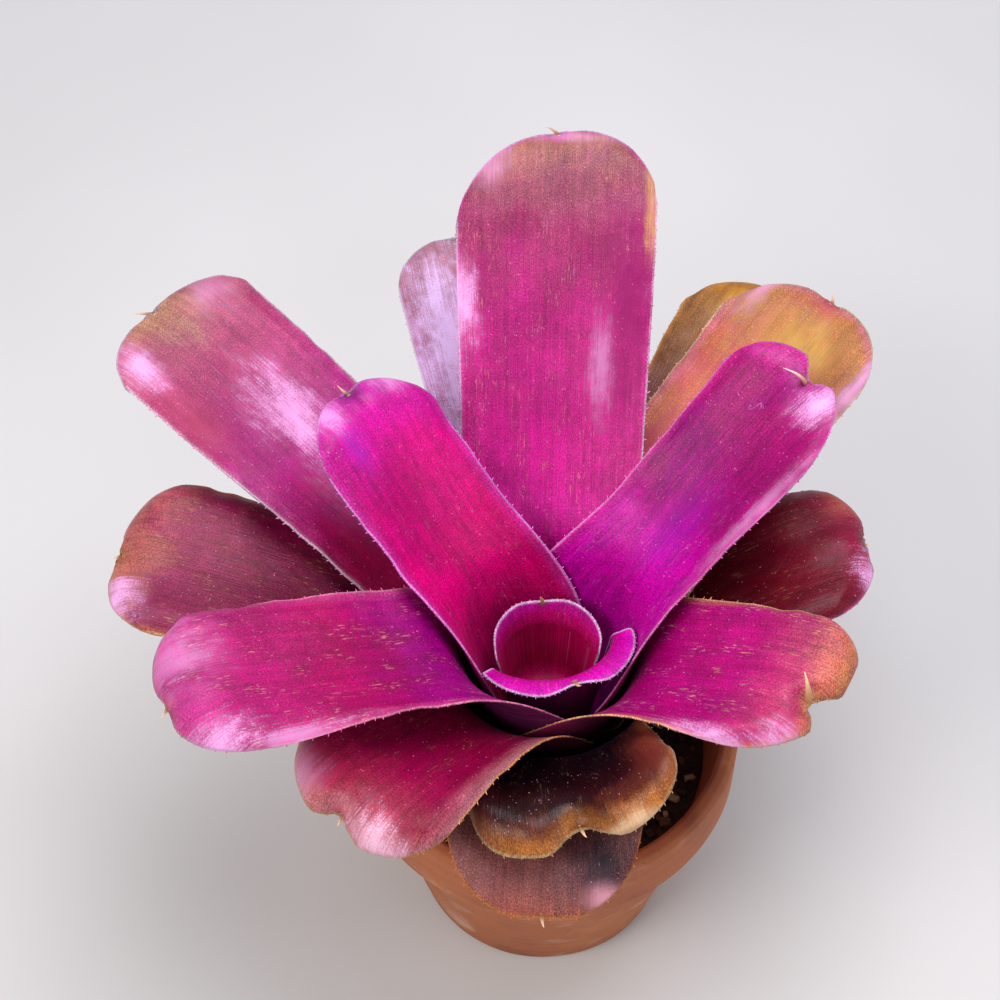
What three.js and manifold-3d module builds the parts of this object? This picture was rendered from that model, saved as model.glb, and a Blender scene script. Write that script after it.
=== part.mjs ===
// A small potted neoregelia: a rosette of broad purple leaves that wrap round each other
// into a short tube, on a short stem that stands in potting mix in a plain clay pot.
// Millimetres, +Z up. The origin is the middle of the pot's foot, on the ground.
// +Y points to the back of the plant, and -Y to the front.

import * as THREE from "three";
import { mergeVertices } from "three/addons/utils/BufferGeometryUtils.js";
import Module from "manifold-3d";

const wasm = await Module();
wasm.setup();

const DEGREE = Math.PI / 180;

// Pot
const POT_HEIGHT = 60;
const POT_FOOT_RADIUS = 28;
const POT_MOUTH_RADIUS = 37;
const POT_RIM_RADIUS = 40.5;
const POT_RIM_HEIGHT = 15;
const POT_WALL = 3.5;
const POT_FLOOR = 4;
const POT_SEGMENTS = 40;
const DRAIN_RADIUS = 3.5;
const DRAIN_CIRCLE = 16;
const DRAIN_COUNT = 3;
const DRAIN_SEGMENTS = 20;
const FOOT_BEVEL = 1;
const RIM_ROUND = 1;

// Potting mix
const GAP = 0.3;
const MIX_TOP = 46.5;
const MIX_RELIEF = 1.1;
const MIX_EDGE = 4;
const MIX_WAVE_X = 0.9;
const MIX_WAVE_Y = 0.7;
const MIX_SWIRL = 1.3;
const MIX_CROSS_X = 0.6;
const MIX_CROSS_Y = 0.8;
const MIX_RINGS = 7;
const MIX_SEGMENTS = 36;

// Stem
const STEM_RADIUS = 4;
const STEM_BOTTOM = 28;
const STEM_TOP = 64;
const STEM_BEVEL = 1;
const STEM_SEGMENTS = 20;

// Nest of leaf bases: quarter-circle cups round the stem that turn up into tubes
const NEST_CENTRE = 67;
const NEST_INNER_RADIUS = 8.5;
const NEST_PITCH = 0.95;
const STEM_REACH = STEM_RADIUS + GAP;

// Leaf sections
const SHEATH_THICKNESS = 0.6;
const BLADE_THICKNESS = 1.1;
const MARGIN_THICKNESS = 0.6;
const COLUMNS = 8;
const CUP_ROWS = 3;
const TUBE_ROWS = 2;
const BLADE_ROWS = 8;
const TIP_ROWS = 4;
const STEP = 0.5;
const THICKENING_ROWS = 4;
const THINNING_ROWS = 2;
const LONGEST_BEND = 26;
const BEND_SHARE = 0.45;
const LONGEST_TIP = 0.9;
const TIP_ALLOWANCE = 0.1;
const SHEATH_TAPER = 0.5;
const WIDENING_SHARE = 0.75;
const NOTCH_REACH = 0.35;
const FOLD_REACH = 0.3;
const LIP_REACH = 6;
const LIP_START_ALONG = 0.35;
const LIP_FULL_ALONG = 0.75;
const FLAP_START_ALONG = 0.4;
const FLAP_START_ACROSS = 0.3;

// Marginal teeth and the point at the tip
const TOOTH_LENGTH = 0.8;
const TOOTH_WIDTH = 1.1;
const TOOTH_SPACING = 9;
const TOOTH_ROOT = 0.35;
const TOOTH_LEAN = 0.5;
const POINT_LENGTH = 2;
const POINT_WIDTH = 1.4;
const POINT_ROOT = 1;

const FINISHES = {
  clay: { color: 0xa9603c, roughness: 0.85 },
  mix: { color: 0x3a2a1f, roughness: 0.95 },
  stem: { color: 0x6b5a35, roughness: 0.6 },
  magenta: { color: 0xb8127a, roughness: 0.4 },
  rose: { color: 0xa02560, roughness: 0.4 },
  wine: { color: 0x7e1640, roughness: 0.4 },
  brown: { color: 0x7a4636, roughness: 0.4 },
};

// A straight leaf with an evenly rounded tip.
const PLAIN = {
  flare: 0.3,
  droop: 0,
  hollow: 30,
  sway: 0,
  roll: 0,
  brim: 0.3,
  tip: 1,
  notch: 1,
  skew: 0,
  left: 0,
  right: 0,
  fold: 0,
  lip: 1.2,
  neck: 0.9,
  dip: 0,
  ring: false,
};

// Each leaf, from the innermost to the outermost.
// side: where the blade points, in degrees round the axis from +X; layer: its place in the nest
// tube: how far its tube rises over the nest's centre; flare: how much the tube opens per height
// wrap: how far its base reaches round the tube, each way
// length and width: of the blade from the tube's top; lift: its slope once it has left the tube
// droop: slope that it loses on the way out; curl: slope that it loses in the last stretch
// sway: how far it turns sideways; roll: how far it twists; hollow: radius of its channel
// brim: how much the tip's sides bend up, as a share of the channel, or down if it is negative
// tip: how round the tip is; notch: how deep it is nicked; skew: how much longer its left side is
// left and right: how far each margin turns down near the tip; fold: how far the midline is
// pinched up at the tip; lip: how far the edge rolls down round the tip
// neck: the blade's width where it leaves the tube, as a share of its width
// dip: how much lower the sides of the tube's top are than its middle
// ring: whether the short blade stays a ring round the stem and rolls out as a lip
const LEAVES = [
  { ...PLAIN, name: "leaf_01", tone: "magenta", side: 95, layer: 0, tube: 10, flare: 0.12,
    wrap: 95, length: 8, width: 32, lift: 76, curl: 10, tip: 0.25, ring: true },
  { ...PLAIN, name: "leaf_02", tone: "magenta", side: 289, layer: 1.4, tube: 23, flare: 0.12,
    wrap: 76, length: 6.2, width: 33, lift: 20, curl: 45, tip: 0.1, notch: 2, skew: 0.5,
    dip: 5, ring: true },
  { ...PLAIN, name: "leaf_03", tone: "magenta", side: 145.5, layer: 2.4, tube: 12, wrap: 85,
    length: 60.5, width: 31, lift: 50, droop: 5, curl: 25, lip: 2, neck: 1, sway: -14 },
  { ...PLAIN, name: "leaf_04", tone: "magenta", side: 33, layer: 3.55, tube: 12, wrap: 85,
    length: 70, width: 31, lift: 45.5, droop: 5, curl: 15, hollow: 28, brim: 1, notch: 3.5,
    fold: 1.5, lip: 2.2, skew: 2.5 },
  { ...PLAIN, name: "leaf_05", tone: "magenta", side: 205, layer: 4.55, tube: 12, wrap: 85,
    length: 75, width: 33.5, lift: 30.5, droop: 12, curl: 30, hollow: 26, brim: 0.9, left: 1.5,
    fold: 1, lip: 4, skew: -1.5 },
  { ...PLAIN, name: "leaf_06", tone: "magenta", side: 334, layer: 5.75, tube: 8, wrap: 84,
    length: 54, width: 36, lift: 34, droop: 15, curl: 30, hollow: 26, brim: 0.9, notch: 5,
    right: 3, fold: 1.5, lip: 3.5, skew: 7 },
  { ...PLAIN, name: "leaf_07", tone: "rose", side: 88.5, layer: 6.9, tube: 9, wrap: 75,
    length: 99, width: 41, lift: 42, droop: 8, curl: 20, hollow: 60, tip: 1, notch: 0.5,
    skew: -3 },
  { ...PLAIN, name: "leaf_08", tone: "wine", side: 229, layer: 8, tube: 4, wrap: 72,
    length: 57, width: 38, lift: 28, droop: 10, curl: 45, hollow: 26, brim: 0.4, notch: 4,
    left: 2, fold: 1.5, lip: 4, skew: 0.5 },
  { ...PLAIN, name: "leaf_09", tone: "rose", side: 48, layer: 8.8, tube: 6, wrap: 68,
    length: 86, width: 36, lift: 28, droop: 8, curl: 15, hollow: 45, lip: 1.5 },
  { ...PLAIN, name: "leaf_10", tone: "rose", side: 143.3, layer: 10, tube: 5, wrap: 66,
    length: 98, width: 37, lift: 28, droop: 8, curl: 20, hollow: 60, brim: 0.8, tip: 0.7,
    lip: 2 },
  { ...PLAIN, name: "leaf_11", tone: "brown", side: 275, layer: 11, tube: 3, wrap: 70,
    length: 38.5, width: 48, lift: 39, droop: 10, curl: 35, hollow: 23, brim: 0.6, tip: 0.6,
    notch: 6, right: 5, lip: 4, roll: 20, skew: 2.5, neck: 0.75 },
  { ...PLAIN, name: "leaf_12", tone: "wine", side: 18, layer: 12, tube: 3, wrap: 60,
    length: 60, width: 34, lift: 18, droop: 6, curl: 40, hollow: 40, notch: 3, left: 2,
    fold: 1.5, lip: 3, skew: 6 },
  { ...PLAIN, name: "leaf_13", tone: "wine", side: 171, layer: 12, tube: 3, wrap: 62,
    length: 78, width: 37.5, lift: 19, droop: 8, curl: 30, hollow: 45, brim: 0.8, tip: 0.85,
    notch: 2, fold: 1, lip: 3 },
  { ...PLAIN, name: "leaf_14", tone: "rose", side: 101, layer: 13.2, tube: 1.5, wrap: 55,
    length: 90, width: 31, lift: 18, droop: 4, curl: 15, hollow: 50, neck: 0.75 },
  { ...PLAIN, name: "leaf_15", tone: "brown", side: 268, layer: 13.2, tube: 1.5, wrap: 65,
    length: 40, width: 46, lift: 6, droop: 12, curl: 20, tip: 1.3 },
  { ...PLAIN, name: "leaf_16", tone: "brown", side: 59, layer: 14.8, tube: 1.5, wrap: 52,
    length: 89, width: 34, lift: 13, droop: 4, curl: 15, hollow: 50, neck: 0.7 },
];

const mix = (from, to, share) => from + (to - from) * share;
const clamp01 = (x) => Math.min(1, Math.max(0, x));
const smooth = (x) => clamp01(x) ** 2 * (3 - 2 * clamp01(x));

// A closed indexed geometry as a manifold solid.
function solidOf(geometry) {
  const bare = geometry.clone();
  bare.deleteAttribute("normal");
  bare.deleteAttribute("uv");
  const merged = mergeVertices(bare, 1e-4);
  return new wasm.Manifold(
    new wasm.Mesh({
      numProp: 3,
      vertProperties: merged.attributes.position.array,
      triVerts: new Uint32Array(merged.index.array),
    }),
  );
}

// A manifold solid as a geometry for drawing.
function geometryOf(solid) {
  const mesh = solid.getMesh();
  const geometry = new THREE.BufferGeometry();
  geometry.setAttribute("position", new THREE.BufferAttribute(mesh.vertProperties, 3));
  geometry.setIndex(new THREE.BufferAttribute(mesh.triVerts, 1));
  geometry.computeVertexNormals();
  return geometry;
}

// Measures that the parts of a leaf share.
function leafMeasures(leaf) {
  const radius = NEST_INNER_RADIUS + leaf.layer * NEST_PITCH;
  const half = leaf.width / 2;
  const bend = Math.min(LONGEST_BEND, leaf.length * BEND_SHARE);
  const tipLength = half * (leaf.tip + TIP_ALLOWANCE) + Math.abs(leaf.skew);
  const tipStart = leaf.length - Math.min(tipLength, leaf.length * LONGEST_TIP);
  return { radius, half, bend, tipStart };
}

// The blade's midrib from the tube's top: a frame at every STEP, turned a little each time.
function midrib(leaf) {
  const { radius, bend, tipStart } = leafMeasures(leaf);
  const opening = Math.atan(leaf.flare);
  const point = new THREE.Vector3(radius + leaf.flare * leaf.tube, 0, NEST_CENTRE + leaf.tube);
  const along = new THREE.Vector3(Math.sin(opening), 0, Math.cos(opening));
  const normal = new THREE.Vector3(-Math.cos(opening), 0, Math.sin(opening));
  const across = new THREE.Vector3(0, 1, 0);
  const stations = [];
  const steps = Math.ceil(leaf.length / STEP);
  const step = leaf.length / steps;
  const turn = (axis, degrees) => {
    for (const arm of [along, normal, across]) arm.applyAxisAngle(axis, degrees * DEGREE);
  };
  for (let i = 0; i <= steps; i++) {
    const x = i * step;
    stations.push({
      point: point.clone(),
      normal: normal.clone(),
      across: across.clone(),
    });
    const t = clamp01(x / bend);
    const tip = clamp01((x - tipStart) / (leaf.length - tipStart));
    const free = x > bend / 2 ? step / (leaf.length - bend / 2) : 0;
    const lean = ((90 - opening / DEGREE - leaf.lift) * 6 * t * (1 - t) * step) / bend;
    const curl = (leaf.curl * 2 * tip * step) / (leaf.length - tipStart);
    turn(across.clone(), lean + leaf.droop * free + curl);
    turn(normal.clone(), leaf.sway * free);
    turn(along.clone(), leaf.roll * free);
    point.addScaledVector(along, step);
  }
  return stations;
}

// The leaf's middle surface, as functions of the place along it and of u, from -1 to 1 across it.
function leafSurface(leaf) {
  const { radius, half, bend, tipStart } = leafMeasures(leaf);
  const stations = midrib(leaf);
  const cup = radius - STEM_REACH;
  const wrap = leaf.wrap * DEGREE;

  const revolved = (r, z, u) =>
    new THREE.Vector3(r * Math.cos(wrap * u), r * Math.sin(wrap * u), NEST_CENTRE + z);

  const cupPoint = (share, u) => {
    const angle = (share * Math.PI) / 2;
    return revolved(STEM_REACH + cup * Math.sin(angle), -cup * Math.cos(angle), u);
  };
  const conePoint = (height, u) => revolved(radius + leaf.flare * height, height, u);
  const lowered = (point, share, u) => point.setZ(point.z - leaf.dip * share * u * u);
  const tubePoint = (share, u) => lowered(conePoint(leaf.tube * share, u), share, u);

  const widthAt = (x) =>
    half * mix(leaf.neck, 1, smooth((x - bend / 2) / (leaf.length * WIDENING_SHARE)));
  const curveAt = (x) => {
    const open = mix(1 / radius, 1 / leaf.hollow, smooth(x / bend));
    return mix(open, leaf.brim / leaf.hollow, smooth((x - bend) / (leaf.length - bend)));
  };
  const endAt = (u) =>
    leaf.length -
    leaf.tip * half * (1 - Math.sqrt(Math.max(0, 1 - u * u))) -
    leaf.notch * (1 - smooth(Math.abs(u) / NOTCH_REACH)) +
    leaf.skew * u;
  const rise = (x, u) => {
    const outward = smooth((Math.abs(u) - FLAP_START_ACROSS) / (1 - FLAP_START_ACROSS));
    const onward = smooth((x / leaf.length - FLAP_START_ALONG) / (1 - FLAP_START_ALONG));
    const middle = 1 - smooth(Math.abs(u) / FOLD_REACH);
    const tip = smooth((x - tipStart) / (leaf.length - tipStart));
    const rim = Math.max(0, Math.min((1 - Math.abs(u)) * half, endAt(u) - x));
    const rolled = clamp01(1 - rim / LIP_REACH) ** 2;
    const rolling = smooth((x / leaf.length - LIP_START_ALONG) / (LIP_FULL_ALONG - LIP_START_ALONG));
    return (
      leaf.fold * middle * tip -
      (u > 0 ? leaf.left : leaf.right) * outward * onward -
      leaf.lip * rolled * rolling
    );
  };

  const bladePoint = (x, u) => {
    const place = Math.min(stations.length - 1.001, (x / leaf.length) * (stations.length - 1));
    const i = Math.max(0, Math.floor(place));
    const a = stations[i];
    const b = stations[i + 1];
    const rest = place - i;
    const spine = a.point.clone().lerp(b.point, rest);
    if (leaf.ring) return lowered(revolved(spine.x, spine.z - NEST_CENTRE, u), 1, u);
    const reach = widthAt(x) * u;
    const turn = curveAt(x) * reach;
    const sine = Math.abs(turn) < 1e-4 ? 1 : Math.sin(turn) / turn;
    const drop = Math.abs(turn) < 1e-4 ? 0 : (1 - Math.cos(turn)) / turn;
    const free = spine
      .addScaledVector(a.across.clone().lerp(b.across, rest), reach * sine)
      .addScaledVector(a.normal.clone().lerp(b.normal, rest), reach * drop + rise(x, u));
    const height = leaf.tube + x / Math.hypot(1, leaf.flare);
    const tapered = u * mix(1, SHEATH_TAPER, clamp01(x / bend));
    return lowered(conePoint(height, tapered).lerp(free, smooth(x / bend)), 1, u);
  };
  return { cupPoint, tubePoint, bladePoint, endAt, tipStart };
}

// Columns are even round the sheath and close up towards the margins at the tip.
function columnAt(k, tipness) {
  const even = (2 * k) / COLUMNS - 1;
  return mix(even, Math.sin((even * Math.PI) / 2), tipness);
}

// The leaf's middle surface as rows of points, from the stem to the tip.
function leafRows(leaf) {
  const surface = leafSurface(leaf);
  const rows = [];
  const columns = (tipness, pointAt) =>
    Array.from({ length: COLUMNS + 1 }, (_, k) => pointAt(columnAt(k, tipness)));
  for (let j = 0; j < CUP_ROWS; j++)
    rows.push(columns(0, (u) => surface.cupPoint(j / CUP_ROWS, u)));
  for (let j = 0; j < TUBE_ROWS; j++)
    rows.push(columns(0, (u) => surface.tubePoint(j / TUBE_ROWS, u)));
  for (let j = 0; j <= BLADE_ROWS; j++) {
    const x = surface.tipStart * (j / BLADE_ROWS);
    rows.push(columns(smooth(j / BLADE_ROWS), (u) => surface.bladePoint(x, u)));
  }
  for (let j = 1; j <= TIP_ROWS; j++)
    rows.push(
      columns(1, (u) =>
        surface.bladePoint(mix(surface.tipStart, surface.endAt(u), j / TIP_ROWS), u),
      ),
    );
  return rows;
}

// Unit normals of the rows, on the side that faces up and in.
function rowNormals(rows) {
  const last = rows.length - 1;
  return rows.map((row, j) =>
    row.map((_, k) => {
      const ahead = rows[Math.min(last, j + 1)][k].clone().sub(rows[Math.max(0, j - 1)][k]);
      const side = row[Math.min(COLUMNS, k + 1)].clone().sub(row[Math.max(0, k - 1)]);
      return ahead.cross(side).normalize();
    }),
  );
}

// The closed skin of a leaf: its rows moved half a thickness to both sides, joined round the edge.
function leafSkin(rows, normals) {
  const positions = [];
  const count = COLUMNS + 1;
  const last = rows.length - 1;
  const sheathRows = CUP_ROWS + TUBE_ROWS;
  for (const side of [1, -1])
    rows.forEach((row, j) =>
      row.forEach((point, k) => {
        const margin = Math.abs((2 * k) / COLUMNS - 1) ** 3;
        const body = mix(
          SHEATH_THICKNESS,
          BLADE_THICKNESS,
          smooth((j - sheathRows - 1) / THICKENING_ROWS) * smooth((last - j) / THINNING_ROWS),
        );
        const thickness = mix(body, MARGIN_THICKNESS, margin);
        const moved = point.clone().addScaledVector(normals[j][k], (side * thickness) / 2);
        positions.push(moved.x, moved.y, moved.z);
      }),
    );
  const top = (j, k) => j * count + k;
  const under = (j, k) => (last + 1) * count + j * count + k;
  const faces = [];
  const quad = (a, b, c, d) => faces.push(a, b, c, a, c, d);
  for (let j = 0; j < last; j++)
    for (let k = 0; k < COLUMNS; k++) {
      quad(top(j, k), top(j + 1, k), top(j + 1, k + 1), top(j, k + 1));
      faces.push(under(j, k), under(j + 1, k + 1), under(j + 1, k));
      faces.push(under(j, k), under(j, k + 1), under(j + 1, k + 1));
    }
  for (let j = 0; j < last; j++) {
    quad(top(j + 1, 0), top(j, 0), under(j, 0), under(j + 1, 0));
    quad(top(j, COLUMNS), top(j + 1, COLUMNS), under(j + 1, COLUMNS), under(j, COLUMNS));
  }
  for (let k = 0; k < COLUMNS; k++) {
    quad(top(0, k), top(0, k + 1), under(0, k + 1), under(0, k));
    quad(top(last, k + 1), top(last, k), under(last, k), under(last, k + 1));
  }
  const geometry = new THREE.BufferGeometry();
  geometry.setAttribute("position", new THREE.Float32BufferAttribute(positions, 3));
  geometry.setIndex(faces);
  return geometry;
}

// A three-sided spike on an edge, with its root sunk in the leaf.
function spike({ at, outward, along, normal }, length, width, root, lean) {
  const foot = at.clone().addScaledVector(outward, -root);
  const depth = MARGIN_THICKNESS / 3;
  const corners = [
    foot.clone().addScaledVector(along, -width / 2).addScaledVector(normal, depth),
    foot.clone().addScaledVector(along, width / 2).addScaledVector(normal, depth),
    foot.clone().addScaledVector(normal, -depth),
    at.clone().addScaledVector(outward, length).addScaledVector(along, length * lean),
  ];
  const geometry = new THREE.BufferGeometry().setFromPoints(corners);
  const inward = along.clone().cross(normal).dot(outward) > 0;
  geometry.setIndex(
    inward ? [0, 1, 2, 0, 3, 1, 1, 3, 2, 2, 3, 0] : [0, 2, 1, 0, 1, 3, 1, 2, 3, 2, 0, 3],
  );
  return solidOf(geometry);
}

// One edge of the blade as a line of points, from the tube to the tip's shoulder.
function edgeLine(rows, normals, side) {
  const k = side > 0 ? COLUMNS : 0;
  const last = rows.length - 1;
  const line = [];
  for (let j = CUP_ROWS + TUBE_ROWS; j <= last; j++)
    line.push({ point: rows[j][k], inner: rows[j][k - side], normal: normals[j][k] });
  for (const i of [1, 2])
    line.push({
      point: rows[last][k - side * i],
      inner: rows[last - 1][k - side * i],
      normal: normals[last][k - side * i],
    });
  return line;
}

// The teeth of one edge, a spacing apart and leaning towards the tip.
function edgeTeeth(line) {
  const teeth = [];
  let walked = 0;
  let next = TOOTH_SPACING;
  for (let i = 1; i < line.length; i++) {
    const a = line[i - 1];
    const b = line[i];
    const span = a.point.distanceTo(b.point);
    const along = b.point.clone().sub(a.point).normalize();
    while (walked + span > next) {
      const share = (next - walked) / span;
      const at = a.point.clone().lerp(b.point, share);
      const normal = a.normal.clone().lerp(b.normal, share).projectOnPlane(along).normalize();
      const outward = at.clone().sub(a.inner.clone().lerp(b.inner, share));
      outward.projectOnPlane(along).projectOnPlane(normal).normalize();
      const place = { at, outward, along, normal };
      teeth.push(spike(place, TOOTH_LENGTH, TOOTH_WIDTH, TOOTH_ROOT, TOOTH_LEAN));
      next += TOOTH_SPACING;
    }
    walked += span;
  }
  return teeth;
}

// The dry point in the middle of the tip, bent up from the blade.
function tipPoint(rows, normals) {
  const last = rows.length - 1;
  const middle = COLUMNS / 2;
  const at = rows[last][middle];
  const along = rows[last][middle + 1].clone().sub(rows[last][middle - 1]).normalize();
  const normal = normals[last][middle].clone().projectOnPlane(along).normalize();
  const outward = at.clone().sub(rows[last - 1][middle]).projectOnPlane(along);
  outward.projectOnPlane(normal).normalize();
  return spike({ at, outward, along, normal }, POINT_LENGTH, POINT_WIDTH, POINT_ROOT, 0);
}

function leafGeometry(leaf) {
  const rows = leafRows(leaf);
  const normals = rowNormals(rows);
  const spikes = [-1, 1].flatMap((side) => edgeTeeth(edgeLine(rows, normals, side)));
  const skin = solidOf(leafSkin(rows, normals));
  const whole = wasm.Manifold.union([skin, ...spikes, tipPoint(rows, normals)]);
  return geometryOf(whole).rotateZ(leaf.side * DEGREE);
}

// A solid of revolution about +Z from a closed profile of [radius, height] pairs.
function revolvedGeometry(profile, segments) {
  const points = profile.map(([r, z]) => new THREE.Vector2(r, z));
  return new THREE.LatheGeometry(points, segments).rotateX(Math.PI / 2);
}

// Inner radius of the pot at a height, from its floor to its rim.
function potInnerRadius(z) {
  const share = (z - POT_FLOOR) / (POT_HEIGHT - POT_FLOOR);
  return mix(POT_FOOT_RADIUS, POT_RIM_RADIUS, share) - POT_WALL;
}

function potGeometry() {
  const rimBottom = POT_HEIGHT - POT_RIM_HEIGHT;
  const lip = potInnerRadius(POT_HEIGHT - RIM_ROUND);
  const shell = revolvedGeometry(
    [
      [0, 0],
      [POT_FOOT_RADIUS - FOOT_BEVEL, 0],
      [POT_FOOT_RADIUS, FOOT_BEVEL],
      [POT_MOUTH_RADIUS, rimBottom],
      [POT_RIM_RADIUS - RIM_ROUND, rimBottom],
      [POT_RIM_RADIUS, rimBottom + RIM_ROUND],
      [POT_RIM_RADIUS, POT_HEIGHT - RIM_ROUND],
      [POT_RIM_RADIUS - RIM_ROUND, POT_HEIGHT],
      [lip + RIM_ROUND, POT_HEIGHT],
      [lip, POT_HEIGHT - RIM_ROUND],
      [potInnerRadius(POT_FLOOR), POT_FLOOR],
      [0, POT_FLOOR],
    ],
    POT_SEGMENTS,
  );
  const drains = Array.from({ length: DRAIN_COUNT }, (_, i) => {
    const angle = (i / DRAIN_COUNT) * 2 * Math.PI + Math.PI / 2;
    const drain = new THREE.CylinderGeometry(DRAIN_RADIUS, DRAIN_RADIUS, 3 * POT_FLOOR, DRAIN_SEGMENTS);
    drain.rotateX(Math.PI / 2);
    drain.translate(DRAIN_CIRCLE * Math.cos(angle), DRAIN_CIRCLE * Math.sin(angle), POT_FLOOR / 2);
    return solidOf(drain);
  });
  return geometryOf(solidOf(shell).subtract(wasm.Manifold.union(drains)));
}

// Potting mix: it fills the pot up to an uneven top and has a plain hole for the stem.
function mixGeometry() {
  const hole = STEM_RADIUS + GAP;
  const outer = potInnerRadius(MIX_TOP) - GAP;
  const bottom = POT_FLOOR + GAP;
  const rings = Array.from({ length: MIX_RINGS + 1 }, (_, i) => [
    mix(outer, hole, i / MIX_RINGS),
    MIX_TOP,
  ]);
  const geometry = revolvedGeometry(
    [
      [0, bottom],
      [potInnerRadius(bottom) - GAP, bottom],
      ...rings,
      [hole, STEM_BOTTOM - GAP],
      [0, STEM_BOTTOM - GAP],
    ],
    MIX_SEGMENTS,
  );
  const position = geometry.attributes.position;
  for (let i = 0; i < position.count; i++) {
    const x = position.getX(i);
    const y = position.getY(i);
    if (position.getZ(i) < MIX_TOP - GAP) continue;
    const r = Math.hypot(x, y);
    const inside = smooth((outer - r) / MIX_EDGE) * smooth((r - hole) / MIX_EDGE);
    const bumps =
      Math.sin(x * MIX_WAVE_X + MIX_SWIRL * Math.sin(y * MIX_WAVE_Y)) *
      Math.cos(y * MIX_CROSS_Y - x * MIX_CROSS_X);
    position.setZ(i, MIX_TOP + MIX_RELIEF * bumps * inside);
  }
  return geometryOf(solidOf(geometry));
}

function stemGeometry() {
  return revolvedGeometry(
    [
      [0, STEM_BOTTOM],
      [STEM_RADIUS - STEM_BEVEL, STEM_BOTTOM],
      [STEM_RADIUS, STEM_BOTTOM + STEM_BEVEL],
      [STEM_RADIUS, STEM_TOP - STEM_RADIUS / 2],
      [STEM_RADIUS * 0.8, STEM_TOP - STEM_RADIUS / 4],
      [STEM_RADIUS * 0.4, STEM_TOP],
      [0, STEM_TOP],
    ],
    STEM_SEGMENTS,
  );
}

const group = new THREE.Group();

// Adds a closed solid as a named mesh with a finish of its own.
function place(name, geometry, finish) {
  const mesh = new THREE.Mesh(geometry, new THREE.MeshStandardMaterial(finish));
  mesh.name = name;
  group.add(mesh);
}

place("pot", potGeometry(), FINISHES.clay);
place("potting_mix", mixGeometry(), FINISHES.mix);
place("stem", stemGeometry(), FINISHES.stem);
for (const leaf of LEAVES) place(leaf.name, leafGeometry(leaf), FINISHES[leaf.tone]);

export default group;
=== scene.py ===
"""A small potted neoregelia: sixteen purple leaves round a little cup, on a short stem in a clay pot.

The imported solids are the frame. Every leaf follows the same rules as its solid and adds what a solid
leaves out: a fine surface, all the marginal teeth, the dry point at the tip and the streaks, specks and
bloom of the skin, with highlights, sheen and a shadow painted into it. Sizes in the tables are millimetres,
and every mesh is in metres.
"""

import logging
import math
import random
from dataclasses import dataclass
from enum import Enum

import bmesh
import bpy
import numpy as np
from mathutils import Matrix, Quaternion, Vector, noise


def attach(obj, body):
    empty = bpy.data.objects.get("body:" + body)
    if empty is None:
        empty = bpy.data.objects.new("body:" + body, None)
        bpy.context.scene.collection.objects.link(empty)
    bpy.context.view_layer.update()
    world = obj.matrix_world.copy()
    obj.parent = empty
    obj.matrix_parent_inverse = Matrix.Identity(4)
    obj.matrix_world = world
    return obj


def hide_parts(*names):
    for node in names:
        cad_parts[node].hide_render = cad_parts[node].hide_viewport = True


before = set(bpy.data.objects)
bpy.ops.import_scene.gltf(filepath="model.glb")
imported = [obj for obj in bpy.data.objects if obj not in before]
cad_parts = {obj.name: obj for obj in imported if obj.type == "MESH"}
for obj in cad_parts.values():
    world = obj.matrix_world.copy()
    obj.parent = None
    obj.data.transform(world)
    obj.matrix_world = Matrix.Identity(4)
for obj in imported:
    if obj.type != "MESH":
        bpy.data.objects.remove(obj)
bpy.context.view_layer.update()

LOG = logging.getLogger("neoregelia")
MM = 0.001
SEED = 20
Colour = tuple[float, float, float]
Array = np.ndarray
Socket = bpy.types.NodeSocket


class Tone(Enum):
    """Material slots of the record, one named in each leaf's form; the pieces here take their finish from
    their own materials, not from these.
    """

    CLAY = "clay"
    MIX = "potting_mix"
    STEM = "stem"
    MAGENTA = "leaf_magenta"
    ROSE = "leaf_rose"
    WINE = "leaf_wine"
    BROWN = "leaf_brown"


def colour(code: str) -> Colour:
    """Turns a colour such as "b8127a" into scene-linear red, green and blue.

    Args:
        code: six hexadecimal digits, as on a colour card.

    Returns:
        Three numbers from 0 to 1.
    """
    shares = [int(code[i : i + 2], 16) / 255 for i in (0, 2, 4)]
    return tuple(s / 12.92 if s <= 0.04045 else ((s + 0.055) / 1.055) ** 2.4 for s in shares)


def mix(start: float | Array, end: float | Array, share: float | Array) -> float | Array:
    """Returns the value a share of the way from start to end."""
    return start + (end - start) * share


def smooth(share: float | Array) -> float | Array:
    """Returns a share from 0 to 1 with soft ends."""
    held = np.clip(share, 0.0, 1.0)
    return held * held * (3 - 2 * held)


@dataclass(frozen=True)
class Nest:
    """Where the leaf bases sit round the stem, in millimetres."""

    centre: float = 67.0
    inner_radius: float = 8.5
    pitch: float = 0.95
    stem_reach: float = 4.3
    longest_bend: float = 26.0
    bend_share: float = 0.45
    longest_tip: float = 0.9
    tip_allowance: float = 0.1
    taper: float = 0.5
    widening_share: float = 0.75
    notch_reach: float = 0.35
    fold_reach: float = 0.3
    lip_reach: float = 6.0
    lip_start_along: float = 0.35
    lip_full_along: float = 0.75
    flap_start_along: float = 0.4
    flap_start_across: float = 0.3
    step: float = 0.5


NEST = Nest()


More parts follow.
